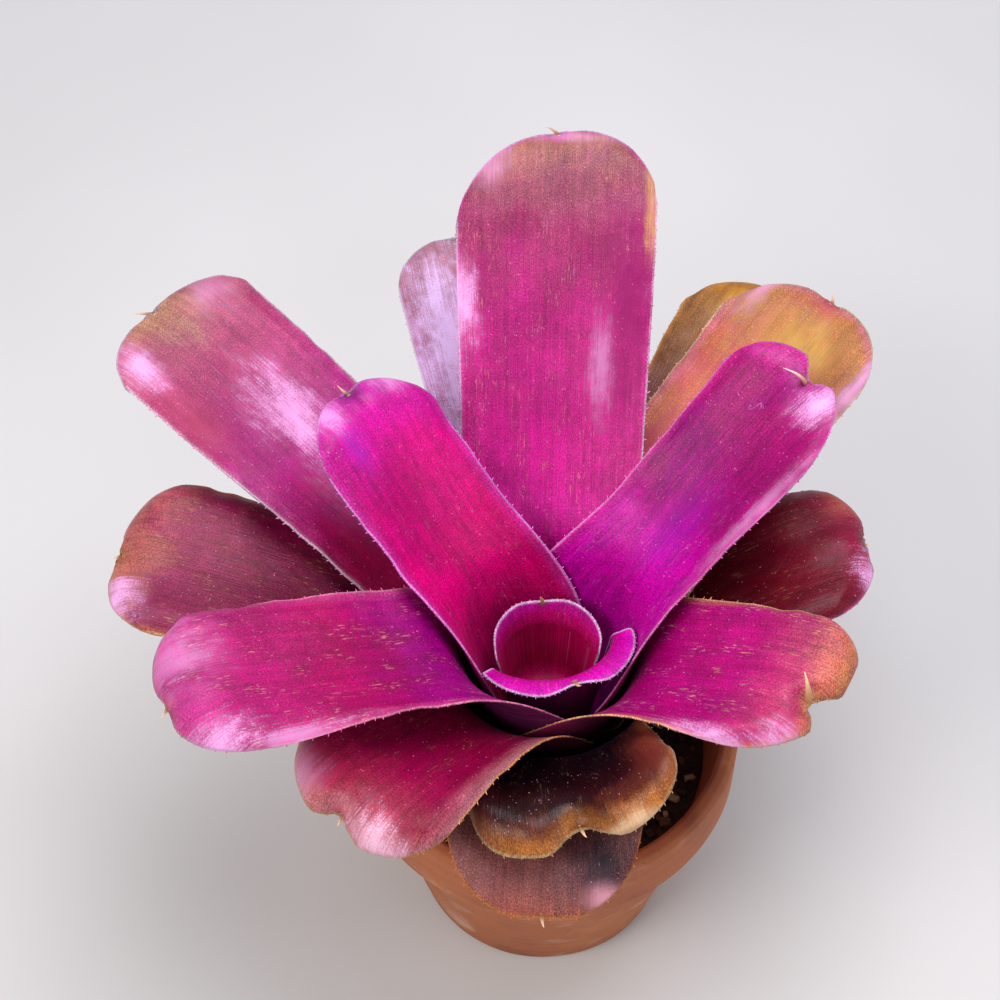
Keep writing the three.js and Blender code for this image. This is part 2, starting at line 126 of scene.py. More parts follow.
@dataclass(frozen=True)
class LeafForm:
    """One leaf's shape. Lengths are millimetres and angles degrees.

    side: where the blade points round the axis from +X; layer: its place in the nest
    tube: how far its tube rises over the nest's centre; flare: how much the tube opens per height
    wrap: how far its base reaches round the tube, each way
    length and width: of the blade from the tube's top; lift: its slope once it has left the tube
    droop: slope that it loses on the way out; curl: slope that it loses in the last stretch
    sway: how far it turns sideways; roll: how far it twists; hollow: radius of its channel
    brim: how much the tip's sides bend up, as a share of the channel, or down if it is negative
    tip: how round the tip is; notch: how deep it is nicked; skew: how much longer its left side is
    left and right: how far each margin turns down near the tip; fold: how far the midline is
    pinched up at the tip; lip: how far the edge rolls down round the tip
    neck: the blade's width where it leaves the tube, as a share of its width
    dip: how much lower the sides of the tube's top are than its middle
    ring: whether the short blade stays a ring round the stem and rolls out as a lip
    """

    name: str
    tone: Tone
    side: float
    layer: float
    tube: float
    wrap: float
    length: float
    width: float
    lift: float
    curl: float
    flare: float = 0.3
    droop: float = 0.0
    hollow: float = 30.0
    sway: float = 0.0
    roll: float = 0.0
    brim: float = 0.3
    tip: float = 1.0
    notch: float = 1.0
    skew: float = 0.0
    left: float = 0.0
    right: float = 0.0
    fold: float = 0.0
    lip: float = 1.2
    neck: float = 0.9
    dip: float = 0.0
    ring: bool = False


class LeafSurface:
    """The middle surface of a leaf, by the same rules as its solid, for whole arrays of places at once."""

    def __init__(self, form: LeafForm) -> None:
        """Works out the leaf's main measures and its midrib.

        Args:
            form: the leaf's shape.
        """
        self.form = form
        self.radius = NEST.inner_radius + form.layer * NEST.pitch
        self.half = form.width / 2
        self.bend = min(NEST.longest_bend, form.length * NEST.bend_share)
        tip_length = self.half * (form.tip + NEST.tip_allowance) + abs(form.skew)
        self.tip_start = form.length - min(tip_length, form.length * NEST.longest_tip)
        self.points, self.normals, self.sides = self._midrib()

    def _midrib(self) -> tuple[Array, Array, Array]:
        """Walks out along the blade's midrib and turns its three arms a little at each step.

        Returns:
            The points, the upward normals and the sideways arms, a row for each step.
        """
        form = self.form
        opening = math.atan(form.flare)
        point = Vector((self.radius + form.flare * form.tube, 0, NEST.centre + form.tube))
        along = Vector((math.sin(opening), 0, math.cos(opening)))
        normal = Vector((-math.cos(opening), 0, math.sin(opening)))
        across = Vector((0, 1, 0))
        steps = math.ceil(form.length / NEST.step)
        step = form.length / steps
        rows: list[tuple[Vector, Vector, Vector]] = []
        for i in range(steps + 1):
            x = i * step
            rows.append((point.copy(), normal.copy(), across.copy()))
            t = min(1.0, x / self.bend)
            tip = min(1.0, max(0.0, (x - self.tip_start) / (form.length - self.tip_start)))
            free = step / (form.length - self.bend / 2) if x > self.bend / 2 else 0.0
            lean = (90 - math.degrees(opening) - form.lift) * 6 * t * (1 - t) * step / self.bend
            curl = form.curl * 2 * tip * step / (form.length - self.tip_start)
            for axis, angle in (
                (across.copy(), lean + form.droop * free + curl),
                (normal.copy(), form.sway * free),
                (along.copy(), form.roll * free),
            ):
                turn = Quaternion(axis, math.radians(angle))
                for arm in (along, normal, across):
                    arm.rotate(turn)
            point += along * step
        return tuple(np.array([row[k] for row in rows]) for k in range(3))

    def revolved(self, radius: Array, height: Array, u: Array) -> Array:
        """Returns points at a radius and a height over the nest's centre, u of the wrap round the stem."""
        angle = math.radians(self.form.wrap) * u
        return np.stack([radius * np.cos(angle), radius * np.sin(angle), NEST.centre + height], -1)

    def cup(self, share: Array, u: Array) -> Array:
        """Returns points of the quarter-circle cup, from the stem at 0 to the tube at 1."""
        reach, angle = self.radius - NEST.stem_reach, share * math.pi / 2
        return self.revolved(NEST.stem_reach + reach * np.sin(angle), -reach * np.cos(angle), u)

    def cone(self, height: Array, u: Array) -> Array:
        """Returns points of the flared tube and of its continuation."""
        return self.revolved(self.radius + self.form.flare * height, height, u)

    def lowered(self, points: Array, share: Array, u: Array) -> Array:
        """Returns the points with the sides of the tube's top let down by the dip."""
        points[..., 2] -= self.form.dip * share * u * u
        return points

    def tube(self, share: Array, u: Array) -> Array:
        """Returns points of the tube, from the cup at 0 to the blade at 1."""
        return self.lowered(self.cone(self.form.tube * share, u), share, u)

    def half_width(self, x: Array) -> Array:
        """Returns half the blade's width at a distance along it."""
        share = (x - self.bend / 2) / (self.form.length * NEST.widening_share)
        return self.half * mix(self.form.neck, 1.0, smooth(share))

    def curve(self, x: Array) -> Array:
        """Finds how sharply the blade is channelled.

        Args:
            x: distances along the blade.

        Returns:
            The curvature, in radians a millimetre.
        """
        opened = mix(1 / self.radius, 1 / self.form.hollow, smooth(x / self.bend))
        share = (x - self.bend) / (self.form.length - self.bend)
        return mix(opened, self.form.brim / self.form.hollow, smooth(share))

    def end(self, u: Array) -> Array:
        """Finds how far the blade reaches.

        Args:
            u: places across, from -1 to 1.

        Returns:
            The distances along the blade.
        """
        form = self.form
        rounding = form.tip * self.half * (1 - np.sqrt(np.clip(1 - u * u, 0, 1)))
        nick = form.notch * (1 - smooth(np.abs(u) / NEST.notch_reach))
        return form.length - rounding - nick + form.skew * u

    def rise(self, x: Array, u: Array) -> Array:
        """Finds how far the tip is pinched up in the middle, turned down at its sides and rolled at its rim.

        Args:
            x: distances along the blade.
            u: places across, from -1 to 1.

        Returns:
            How far each place stands over the plain channel.
        """
        form = self.form
        outward = smooth((np.abs(u) - NEST.flap_start_across) / (1 - NEST.flap_start_across))
        onward = smooth((x / form.length - NEST.flap_start_along) / (1 - NEST.flap_start_along))
        middle = 1 - smooth(np.abs(u) / NEST.fold_reach)
        tip = smooth((x - self.tip_start) / (form.length - self.tip_start))
        rim = np.maximum(0.0, np.minimum((1 - np.abs(u)) * self.half, self.end(u) - x))
        rolled = np.clip(1 - rim / NEST.lip_reach, 0.0, 1.0) ** 2
        rolling = (x / form.length - NEST.lip_start_along) / (NEST.lip_full_along - NEST.lip_start_along)
        flap = np.where(u > 0, form.left, form.right) * outward * onward
        return form.fold * middle * tip - flap - form.lip * rolled * smooth(rolling)

    def blade(self, x: Array, u: Array) -> Array:
        """Finds points of the blade, which leaves the tube's cone for its own channelled sheet.

        Args:
            x: distances along the blade.
            u: places across, from -1 to 1.

        Returns:
            The points.
        """
        form = self.form
        last = len(self.points) - 1
        place = np.clip(x / form.length * last, 0, last - 0.001)
        i = place.astype(int)
        rest = (place - i)[..., None]
        spine = mix(self.points[i], self.points[i + 1], rest)
        if form.ring:
            return self.lowered(self.revolved(spine[..., 0], spine[..., 2] - NEST.centre, u), 1.0, u)
        reach = self.half_width(x) * u
        turn = self.curve(x) * reach
        sine = np.sinc(turn / math.pi)
        drop = np.where(np.abs(turn) < 1e-4, 0.0, (1 - np.cos(turn)) / np.where(turn == 0, 1, turn))
        free = (
            spine
            + mix(self.sides[i], self.sides[i + 1], rest) * (reach * sine)[..., None]
            + mix(self.normals[i], self.normals[i + 1], rest)
            * (reach * drop + self.rise(x, u))[..., None]
        )
        height = form.tube + x / math.hypot(1, form.flare)
        tapered = u * mix(1.0, NEST.taper, np.clip(x / self.bend, 0, 1))
        leaving = smooth(x / self.bend)[..., None]
        return self.lowered(mix(self.cone(height, tapered), free, leaving), 1.0, u)


@dataclass(frozen=True)
class LightAndTonePatch:
    """A patch of another colour on a blade. Most are pale painted highlights and sheen over the waxy bloom;
    leaf_15's near-black one is a painted shadow, and the rest lay other colours on the skin.

    along and across: its middle, as shares of the blade's length and of its half width
    reach and breadth: how far it spreads, as the same shares; strength: how much of the colour it hides
    ragged: how much its edge breaks up into streaks and grains
    """

    along: float
    across: float
    reach: float
    breadth: float
    strength: float
    # the default tint is the pale lilac of the painted highlights and sheen
    tint: str = "f8b4ee"
    ragged: float = 1.0


@dataclass(frozen=True)
class LeafFinish:
    """The skin of one leaf.

    Colours are codes such as "b8127a".
    run: colours from the blade's base at 0 to its tip at 1; mottle: a second colour and how much of it shows
    margin: the colour along the edge and how wide it is, in millimetres; edge: the thin line at the very edge
    under: the underside's colour
    point: the colour of the dry point, with spike as its end
    tip: the colour round the dry point and how far that reaches, in millimetres
    light_and_tone_patches: patches, mostly painted highlights and sheen, with one painted shadow; fleck: the
    colour of short dashes along the leaf; flecks, scratches, specks: how much of the dashes, the fine
    scratches and the pale scales shows
    """

    run: str
    mottle: str
    mottle_share: float
    margin: str
    margin_width: float
    edge: str
    under: str
    tip: str
    tip_reach: float = 5.0
    point: str = "8a5a3c"
    spike: str = "f0c4a0"
    light_and_tone_patches: tuple[LightAndTonePatch, ...] = ()
    fleck: str = "c89060"
    flecks: float = 0.15
    scratches: float = 0.12
    specks: float = 0.5
    roughness: float = 0.36
    sheen: float = 0.02


@dataclass(frozen=True)
class Pattern:
    """Noise on a leaf's own map: its waves a metre across and along, and how finely it breaks up."""

    across: float
    along: float
    detail: float = 2.0


STREAK = Pattern(3200, 60)
VEIN = Pattern(750, 14)
GRAIN = Pattern(3800, 2800)
DAPPLE = Pattern(620, 420, 3.0)
BLOTCH = Pattern(210, 100, 4.0)
DASH = Pattern(3300, 430)
HAIR = Pattern(260, 90, 1.0)
SPECK = Pattern(1700, 1300)
BAND = Pattern(60, 900)
CLOUDS = 60.0
DUSK = 95.0
LEAF_MAP = "leaf"
CARRIED = ("along", "across", "rim", "under", "away", "tooth")
TOOTH_END = 0.45
POINT_START = 0.5
FAR = 99.0


class Shade:
    """Adds and joins the nodes of one material."""

    def __init__(self, name: str) -> None:
        """Starts a material with a surface shader.

        Args:
            name: the material's name.
        """
        self.material = bpy.data.materials.new(name)
        self.material.use_nodes = True
        self.tree = self.material.node_tree
        self.tree.nodes.clear()
        self.skin = self.node("BsdfPrincipled")
        self.node("OutputMaterial", {"Surface": self.skin.outputs[0]})

    def put(self, socket: Socket, value: object) -> None:
        """Joins a socket to another one, or sets its value.

        Args:
            socket: the socket that takes the value.
            value: an output socket, a number, or a colour's code.
        """
        if isinstance(value, Socket):
            self.tree.links.new(value, socket)
        elif isinstance(value, str):
            socket.default_value = (*colour(value), 1.0)
        else:
            socket.default_value = value

    def node(self, kind: str, inputs: dict | None = None, **settings: object) -> bpy.types.Node:
        """Adds a node.

        Args:
            kind: its type, without the words that every type starts with.
            inputs: what its sockets take, by name or number.
            **settings: its options by name.

        Returns:
            The node.
        """
        node = self.tree.nodes.new(f"ShaderNode{kind}")
        for name, value in settings.items():
            setattr(node, name, value)
        for key, value in (inputs or {}).items():
            self.put(node.inputs[key], value)
        return node

    def attribute(self, name: str) -> Socket:
        """Returns a number that the mesh carries at its vertices."""
        return self.node("Attribute", attribute_name=name).outputs["Fac"]

    def stretched(self, at: Socket, scale: tuple[float, ...]) -> Socket:
        """Returns coordinates stretched by a scale along each axis."""
        return self.node("Mapping", {"Vector": at, "Scale": scale}).outputs[0]

    def place(self, *scale: float) -> Socket:
        """Returns coordinates in the object's metres, stretched by a scale along each axis."""
        return self.stretched(self.node("TexCoord").outputs["Object"], scale)

    def leaf_map(self, pattern: Pattern) -> Socket:
        """Returns coordinates on the leaf's own map, stretched to a pattern's waves."""
        source = self.node("UVMap", uv_map=LEAF_MAP).outputs[0]
        return self.stretched(source, (pattern.across, pattern.along, 1))

    def noise(self, at: Socket, scale: float, detail: float = 2.0) -> Socket:
        """Returns soft noise from 0 to 1."""
        return self.node("TexNoise", {"Vector": at, "Scale": scale, "Detail": detail}).outputs["Fac"]

    def pattern(self, pattern: Pattern) -> Socket:
        """Returns a pattern's soft noise on the leaf's own map."""
        return self.noise(self.leaf_map(pattern), 1.0, pattern.detail)

    def cells(self, pattern: Pattern) -> tuple[Socket, Socket]:
        """Returns the distance to the nearest scattered point and that point's own random colour."""
        node = self.node("TexVoronoi", {"Vector": self.leaf_map(pattern), "Scale": 1.0})
        return node.outputs["Distance"], node.outputs["Color"]

    def sum(self, operation: str, *values: object) -> Socket:
        """Returns the result of a calculation with one to three numbers."""
        return self.node("Math", dict(enumerate(values)), operation=operation).outputs[0]

    def swing(self, value: object, amount: float, base: object) -> Socket:
        """Returns the base moved up or down by up to half an amount."""
        return self.sum("MULTIPLY_ADD", self.sum("SUBTRACT", value, 0.5), amount, base)

    def span(self, value: object, low: float, high: float, start: float = 0.0, end: float = 1.0) -> Socket:
        """Returns a number that goes softly from start to end while the value goes from low to high."""
        inputs = dict(enumerate((value, low, high, start, end)))
        return self.node("MapRange", inputs, interpolation_type="SMOOTHSTEP").outputs[0]

    def blend(self, share: object, below: object, above: object, kind: str = "MIX") -> Socket:
        """Returns one colour over another by a share from 0 to 1."""
        inputs = {"Factor": share, 6: below, 7: above}
        return self.node("Mix", inputs, data_type="RGBA", blend_type=kind).outputs[2]

    def over(self, below: object, above: object, value: object, *reach: float) -> Socket:
        """Returns one colour over another by the span of a value, with the numbers that span takes."""
        return self.blend(self.span(value, *reach), below, above)

    def ramp(self, value: Socket, stops: str) -> Socket:
        """Turns a number into a colour.

        Args:
            value: numbers from 0 to 1.
            stops: colours as "position:code", with spaces between them.

        Returns:
            The colour.
        """
        node = self.node("ValToRGB", {0: value})
        node.color_ramp.interpolation = "EASE"
        elements = node.color_ramp.elements
        pairs = [stop.split(":") for stop in stops.split()]
        while len(elements) < len(pairs):
            elements.new(0.5)
        for element, (position, _) in zip(elements, pairs):
            element.position = float(position)
        for element, (_, code) in zip(elements, pairs):
            element.color = (*colour(code), 1.0)
        return node.outputs[0]

    def bump(self, height: Socket, strength: float, distance: float) -> None:
        """Raises the skin by a height map.

        Args:
            height: numbers from 0 to 1.
            strength: how much of the relief shows.
            distance: the relief's depth, in metres.
        """
        node = self.node("Bump", {"Strength": strength, "Distance": distance, "Height": height})
        self.put(self.skin.inputs["Normal"], node.outputs[0])

    def dress(self, tint: object, roughness: object) -> bpy.types.Material:
        """Finishes the material.

        Args:
            tint: its colour.
            roughness: how dull it is, from 0 to 1.

        Returns:
            The material.
        """
        self.put(self.skin.inputs["Base Color"], tint)
        self.put(self.skin.inputs["Roughness"], roughness)
        return self.material


class LeafSkin(Shade):
    """The skin of one leaf: colour along its length, veins, grain, mottling, margin, marks, and patches that
    are mostly painted highlight and sheen.
    """

    def __init__(self, name: str, finish: LeafFinish) -> None:
        """Reads the numbers that the leaf carries and lays out the patterns that its colours share.

        Args:
            name: the material's name.
            finish: the leaf's colours and amounts.
        """
        super().__init__(name)
        self.finish = finish
        self.along, self.across, self.rim, self.under, self.away, self.tooth = map(self.attribute, CARRIED)
        shared = (STREAK, VEIN, GRAIN, DAPPLE, BLOTCH)
        self.streak, self.vein, self.grain, self.dapple, self.blotch = map(self.pattern, shared)
        whole = self.place(1, 1, 1)
        self.cloud = self.noise(whole, CLOUDS, 3.0)
        self.dusk = self.noise(whole, DUSK)

    def _ground(self) -> Socket:
        """Lays the colour along the leaf, with its mottling, its margin and the dry skin round its tip.

        Returns:
            The colour.
        """
        finish = self.finish
        drift = self.swing(self.blotch, 0.15, self.swing(self.cloud, 0.25, self.along))
        skin = self.ramp(self.swing(self.dapple, 0.05, drift), finish.run)
        patches = self.sum("MULTIPLY_ADD", self.dapple, 0.1, self.blotch)
        patches = self.span(self.sum("MULTIPLY_ADD", self.cloud, 0.8, patches), 0.85, 1.15)
        skin = self.blend(self.sum("MULTIPLY", patches, finish.mottle_share), skin, finish.mottle)
        near = self.swing(self.blotch, 1.2 * finish.margin_width, self.rim)
        away = self.swing(self.blotch, finish.tip_reach, self.away)
        for value, low, high, strength, tint in (
            (near, 0.0, finish.margin_width, 0.7, finish.margin),
            (away, 0.5, finish.tip_reach, 0.8, finish.tip),
            (away, 0.4, 1.5, 0.9, finish.point),
            (self.rim, 0.12, 0.55, 0.85, finish.edge),
        ):
            skin = self.over(skin, tint, value, low, high, strength, 0.0)
        ribs = self.sum("MULTIPLY_ADD", self.vein, 0.5, self.sum("MULTIPLY", self.streak, 0.5))
        for value, low, high, dark in (
            (ribs, 0.34, 0.66, "e2e2e2"),
            (self.grain, 0.35, 0.65, "bebebe"),
            (self.dapple, 0.3, 0.7, "eeeeee"),
            (self.dusk, 0.3, 0.7, "e6e6e6"),
        ):
            tint = self.ramp(self.span(value, low, high), f"0:{dark} 1:ffffff")
            skin = self.blend(1.0, skin, tint, "MULTIPLY")
        return skin

    def _marked(self, skin: Socket) -> Socket:
        """Draws short dashes and fine scratches.

        Args:
            skin: the colour below them.

        Returns:
            The colour with the marks.
        """
        dashes = self.span(self.pattern(DASH), 0.58, 0.68)
        dashes = self.sum("MULTIPLY", dashes, self.span(self.blotch, 0.5, 0.62))
        skin = self.blend(self.sum("MULTIPLY", dashes, self.finish.flecks), skin, self.finish.fleck)
        wander = self.sum("ABSOLUTE", self.sum("SUBTRACT", self.pattern(HAIR), 0.5))
        hair = self.span(wander, 0.0, 0.006, 1.0, 0.0)
        hair = self.sum("MULTIPLY", hair, self.span(self.blotch, 0.56, 0.64))
        return self.blend(self.sum("MULTIPLY", hair, self.finish.scratches), skin, "d0a0d8")

    def _with_light_and_tone_patches(self, skin: Socket) -> tuple[Socket, object]:
        """Lays the patches, mostly painted highlights and sheen and one painted shadow, which break up into
        grains and streaks at their edges.

        Args:
            skin: the colour below them.

        Returns:
            The colour with the patches, and how much of them shows.
        """
        frost = self.sum("MULTIPLY_ADD", self.grain, 0.6, self.sum("MULTIPLY", self.streak, 0.4))
        broken = self.swing(self.dapple, 1.0, self.swing(frost, 3.0, 0.0))
        broken = self.swing(self.blotch, 1.6, broken)
        shown = 0.0
        # each patch is mostly a painted highlight and sheen; leaf_15 also has a painted shadow
        for bloom in self.finish.light_and_tone_patches:
            a = self.sum("DIVIDE", self.sum("SUBTRACT", self.along, bloom.along), bloom.reach)
            b = self.sum("DIVIDE", self.sum("SUBTRACT", self.across, bloom.across), bloom.breadth)
            out = self.sum("SQRT", self.sum("ADD", self.sum("MULTIPLY", a, a), self.sum("MULTIPLY", b, b)))
            out = self.sum("MULTIPLY_ADD", broken, bloom.ragged, out)
            mask = self.span(out, -0.1, 1.25, bloom.strength, 0.0)
            skin = self.blend(mask, skin, bloom.tint)
            shown = self.sum("MAXIMUM", mask, shown)
        return skin, shown

    def _dots(self) -> Socket:
        """Scatters the small pale scales.

        Returns:
            Where they are.
        """
        distance, pick = self.cells(SPECK)
        dots = self.sum("LESS_THAN", distance, self.sum("MULTIPLY_ADD", self.dapple, 0.4, -0.02))
        return self.sum("MULTIPLY", dots, self.span(pick, 0.72, 0.76))

    def _backed(self, skin: Socket) -> Socket:
        """Colours the teeth, the dry point and the underside, which has pale cross bands.

        Args:
            skin: the colour of the upper side.

        Returns:
            The colour of the whole leaf.
        """
        finish = self.finish
        spine = f"0.2:{finish.margin} {TOOTH_END}:{finish.edge} 0.55:{finish.point} 1:{finish.spike}"
        skin = self.over(skin, self.ramp(self.tooth, spine), self.tooth, 0.0, 0.2)
        lower = self.over(finish.under, "8c7490", self.pattern(BAND), 0.45, 0.75, 0.0, 0.25)
        lower = self.over(lower, "3c0c28", self.vein, 0.4, 0.7, 0.0, 0.3)
        return self.over(skin, lower, self.under, 0.4, 0.95)

    def build(self) -> bpy.types.Material:
        """Lays the skin's colours over one another and gives it its gloss and relief.

        Returns:
            The material.
        """
        finish = self.finish
        skin, shown = self._with_light_and_tone_patches(self._marked(self._ground()))
        dots = self._dots()
        skin = self._backed(self.blend(self.sum("MULTIPLY", dots, finish.specks), skin, "d88cb0"))
        gloss = self.span(self.blotch, 0.3, 0.7, finish.roughness - 0.07, finish.roughness + 0.1)
        gloss = self.sum("MULTIPLY_ADD", shown, 0.15, gloss)
        self.skin.inputs["Specular IOR Level"].default_value = 0.2
        self.skin.inputs["Sheen Weight"].default_value = finish.sheen
        self.skin.inputs["Sheen Roughness"].default_value = 0.4
        self.put(self.skin.inputs["Sheen Tint"], "d0b8ff")
        relief = self.sum("MULTIPLY_ADD", self.grain, 0.6, self.streak)
        relief = self.sum("MULTIPLY_ADD", self.dapple, 1.2, relief)
        relief = self.sum("MULTIPLY_ADD", self.blotch, 2.0, relief)
        self.bump(self.sum("ADD", relief, dots), 0.4, 0.00022)
        return self.dress(skin, self.sum("MULTIPLY_ADD", self.under, 0.15, gloss))


@dataclass(frozen=True)
class DryPoint:
    """The dry point in a leaf's tip.

    length and width: in millimetres; start and curl: how many degrees it is turned up and back over
    the blade at its root and at its end; lean: how far it leans to the left, as a share of its length
    """

    length: float = 1.8
    width: float = 0.7
    start: float = 0.0
    curl: float = 60.0
    lean: float = 0.2
    steps: int = 12

    def turn(self, share: float) -> float:
        """Returns how far the point is turned up and back at a share of its length, in radians."""
        return math.radians(mix(self.start, self.curl, share * share))

    def walk(self, share: float, length: float) -> Vector:
        """Finds a place along the curled point.

        Args:
            share: how far along it is.
            length: the point's length with its sunk root.

        Returns:
            The place, sideways, upwards and ahead.
        """
        at = Vector((self.lean * length * share * share, 0.0, 0.0))
        for i in range(self.steps):
            turn = self.turn(share * (i + 0.5) / self.steps)
            at += Vector((0.0, math.sin(turn), math.cos(turn))) * (length * share / self.steps)
        return at


POINTS: dict[str, DryPoint] = {
    "leaf_03": DryPoint(length=2.2, curl=70, lean=0.3),
    "leaf_04": DryPoint(length=5.0, width=0.9, start=125, curl=200, lean=0.5),
    "leaf_06": DryPoint(length=6.0, width=1.1, start=150, curl=195, lean=0.15),
    "leaf_07": DryPoint(length=2.2, curl=150, lean=0.8),
    "leaf_09": DryPoint(length=2.2, curl=110, lean=0.5),
    "leaf_10": DryPoint(length=3.6, curl=60, lean=0.7),
    "leaf_16": DryPoint(length=2.5, width=1.0, curl=120),
}


@dataclass
class Leaf:
    """One leaf with its wrapped base, its teeth and the dry point at its tip, in millimetres.

    columns: how many faces it has across; cup_rows: how many rows its cup has
    spacing: the length of the other rows
    sheath, blade and margin: how thick it is there; thinning: how far the change reaches, as a share
    of the bend and of the half width
    even: the share of the bend that stays even; unevenness and waviness: how far the skin wanders all
    over and at its margins, with soft and quick as the waves' scales
    creases: how many folds fan out round the dry point from their centre behind it, where they are
    full and fading, how far they reach and how deep they are
    tooth_*: the teeth's length, width, flatness, sharp end, spacing and sunk root, and where on the
    blade they take their colour; sizes and gaps: the shares that chance picks from, with first_gap
    for the first; hook: how far they lean to the tip
    bead: the share of size and spacing that a ring's teeth have
    bare_tip: how far from the dry point the teeth stop; point_*: its sunk root, sharp end,
    flatness and rings
    """

    form: LeafForm
    finish: LeafFinish
    columns: int = 44
    cup_rows: int = 10
    spacing: float = 0.75
    fewest_rows: int = 6
    sheath: float = 0.6
    blade: float = 1.0
    margin: float = 0.42
    thinning: float = 0.5
    even: float = 0.4
    unevenness: float = 0.4
    waviness: float = 0.5
    soft: float = 0.09
    quick: float = 0.27
    creases: float = 7.0
    crease_centre: float = 0.4
    crease_start: float = 1.5
    crease_fading: float = 1.0
    crease_reach: float = 6.0
    crease_depth: float = 0.4
    tooth_length: float = 0.55
    tooth_width: float = 0.28
    tooth_flatness: float = 0.5
    tooth_end: float = 0.03
    tooth_spacing: float = 2.3
    tooth_root: float = 0.3
    tooth_colour_at: float = 0.8
    sizes: tuple[float, float] = (0.6, 1.15)
    gaps: tuple[float, float] = (0.6, 1.5)
    first_gap: tuple[float, float] = (0.6, 1.2)
    hook: float = 0.75
    bead: float = 0.6
    bare_tip: float = 1.6
    point_root: float = 1.0
    point_end: float = 0.06
    point_flatness: float = 0.55
    point_rings: int = 8

    def __post_init__(self) -> None:
        """Prepares the middle surface and the mesh."""
        self.surface = LeafSurface(self.form)
        self.random = random.Random(f"{SEED} {self.form.name}")
        self.bm = bmesh.new()
        self.layers = {name: self.bm.verts.layers.float.new(name) for name in CARRIED}

    def _columns(self, tipness: float) -> Array:
        """Returns the places across, even at the base and closer towards the margins at the tip."""
        even = np.linspace(-1.0, 1.0, self.columns + 1)
        return mix(even, np.sin(even * math.pi / 2), tipness)

    def _rows(self) -> tuple[Array, Array, Array, int]:
        """Lays out the leaf's middle surface from the stem to the tip.

        Returns:
            The points, the distances along the blade and the places across, all in rows and columns,
            and the number of the blade's first row.
        """
        form, surface = self.form, self.surface
        rows = []
        base = self._columns(0.0)
        tube_rows = max(2, math.ceil(form.tube / self.spacing))
        for j in range(self.cup_rows):
            share = np.full_like(base, j / self.cup_rows)
            rows.append((surface.cup(share, base), (share - 1) * surface.radius, base))
        for j in range(tube_rows):
            share = np.full_like(base, j / tube_rows)
            rows.append((surface.tube(share, base), share * 0.0, base))
        blade_rows = max(self.fewest_rows, math.ceil(surface.tip_start / self.spacing))
        for j in range(blade_rows + 1):
            u = self._columns(float(smooth(j / blade_rows)))
            x = np.full_like(u, surface.tip_start * j / blade_rows)
            rows.append((surface.blade(x, u), x, u))
        tip_rows = max(self.fewest_rows, math.ceil((form.length - surface.tip_start) / self.spacing))
        u = self._columns(1.0)
        for j in range(1, tip_rows + 1):
            x = mix(surface.tip_start, surface.end(u), j / tip_rows)
            rows.append((surface.blade(x, u), x, u))
        points, xs, us = (np.array(column) for column in zip(*rows))
        return points, xs, us, self.cup_rows + tube_rows

    def _facing(self, points: Array) -> Array:
        """Returns unit normals on the side that faces up and in."""
        normals = np.cross(np.gradient(points, axis=0), np.gradient(points, axis=1))
        return normals / np.maximum(np.linalg.norm(normals, axis=-1, keepdims=True), 1e-9)

    def _uneven(self, points: Array, xs: Array, us: Array) -> Array:
        """Finds how far the skin of the free blade stands off the even surface.

        Args:
            points: the even surface.
            xs: distances along the blade.
            us: places across, from -1 to 1.

        Returns:
            The distances off the surface.
        """
        shift = Vector((self.random.uniform(0, 50), self.random.uniform(0, 50), 0))
        places = [Vector(p) for p in points.reshape(-1, 3)]
        slow, fast = (
            np.array([noise.noise(p * scale + shift) for p in places]).reshape(xs.shape)
            for scale in (self.soft, self.quick)
        )
        reach = us * self.surface.half
        back = self.surface.end(us * 0.0) - xs
        far = np.hypot(reach, back)
        folds = np.sin(self.creases * np.arctan2(reach, back + self.crease_centre) + shift[0])
        folds = folds * smooth(far / self.crease_start)
        folds = folds * (1 - smooth((far - self.crease_fading) / self.crease_reach))
        folds = folds * (0.0 if self.form.ring else 1.0)
        uneven = self.unevenness * slow + self.waviness * fast * np.abs(us) ** 4
        return smooth(xs / self.surface.bend - self.even) * (uneven + self.crease_depth * folds)

    def _thickness(self, xs: Array, us: Array) -> Array:
        """Finds how thick the leaf is: thin in the sheath and at the margins, fuller in the blade.

        Args:
            xs: distances along the blade.
            us: places across, from -1 to 1.

        Returns:
            The thicknesses.
        """
        body = mix(self.sheath, self.blade, smooth(xs / (self.thinning * self.surface.bend)))
        left = (self.surface.end(us) - xs) / (self.thinning * self.surface.half)
        body = mix(self.margin, body, smooth(left))
        return mix(body, np.minimum(self.margin, body), np.abs(us) ** 3)

    def _carry(self, vert: bmesh.types.BMVert, **numbers: float) -> None:
        """Gives a vertex the numbers that the skin reads."""
        for name, number in numbers.items():
            vert[self.layers[name]] = number

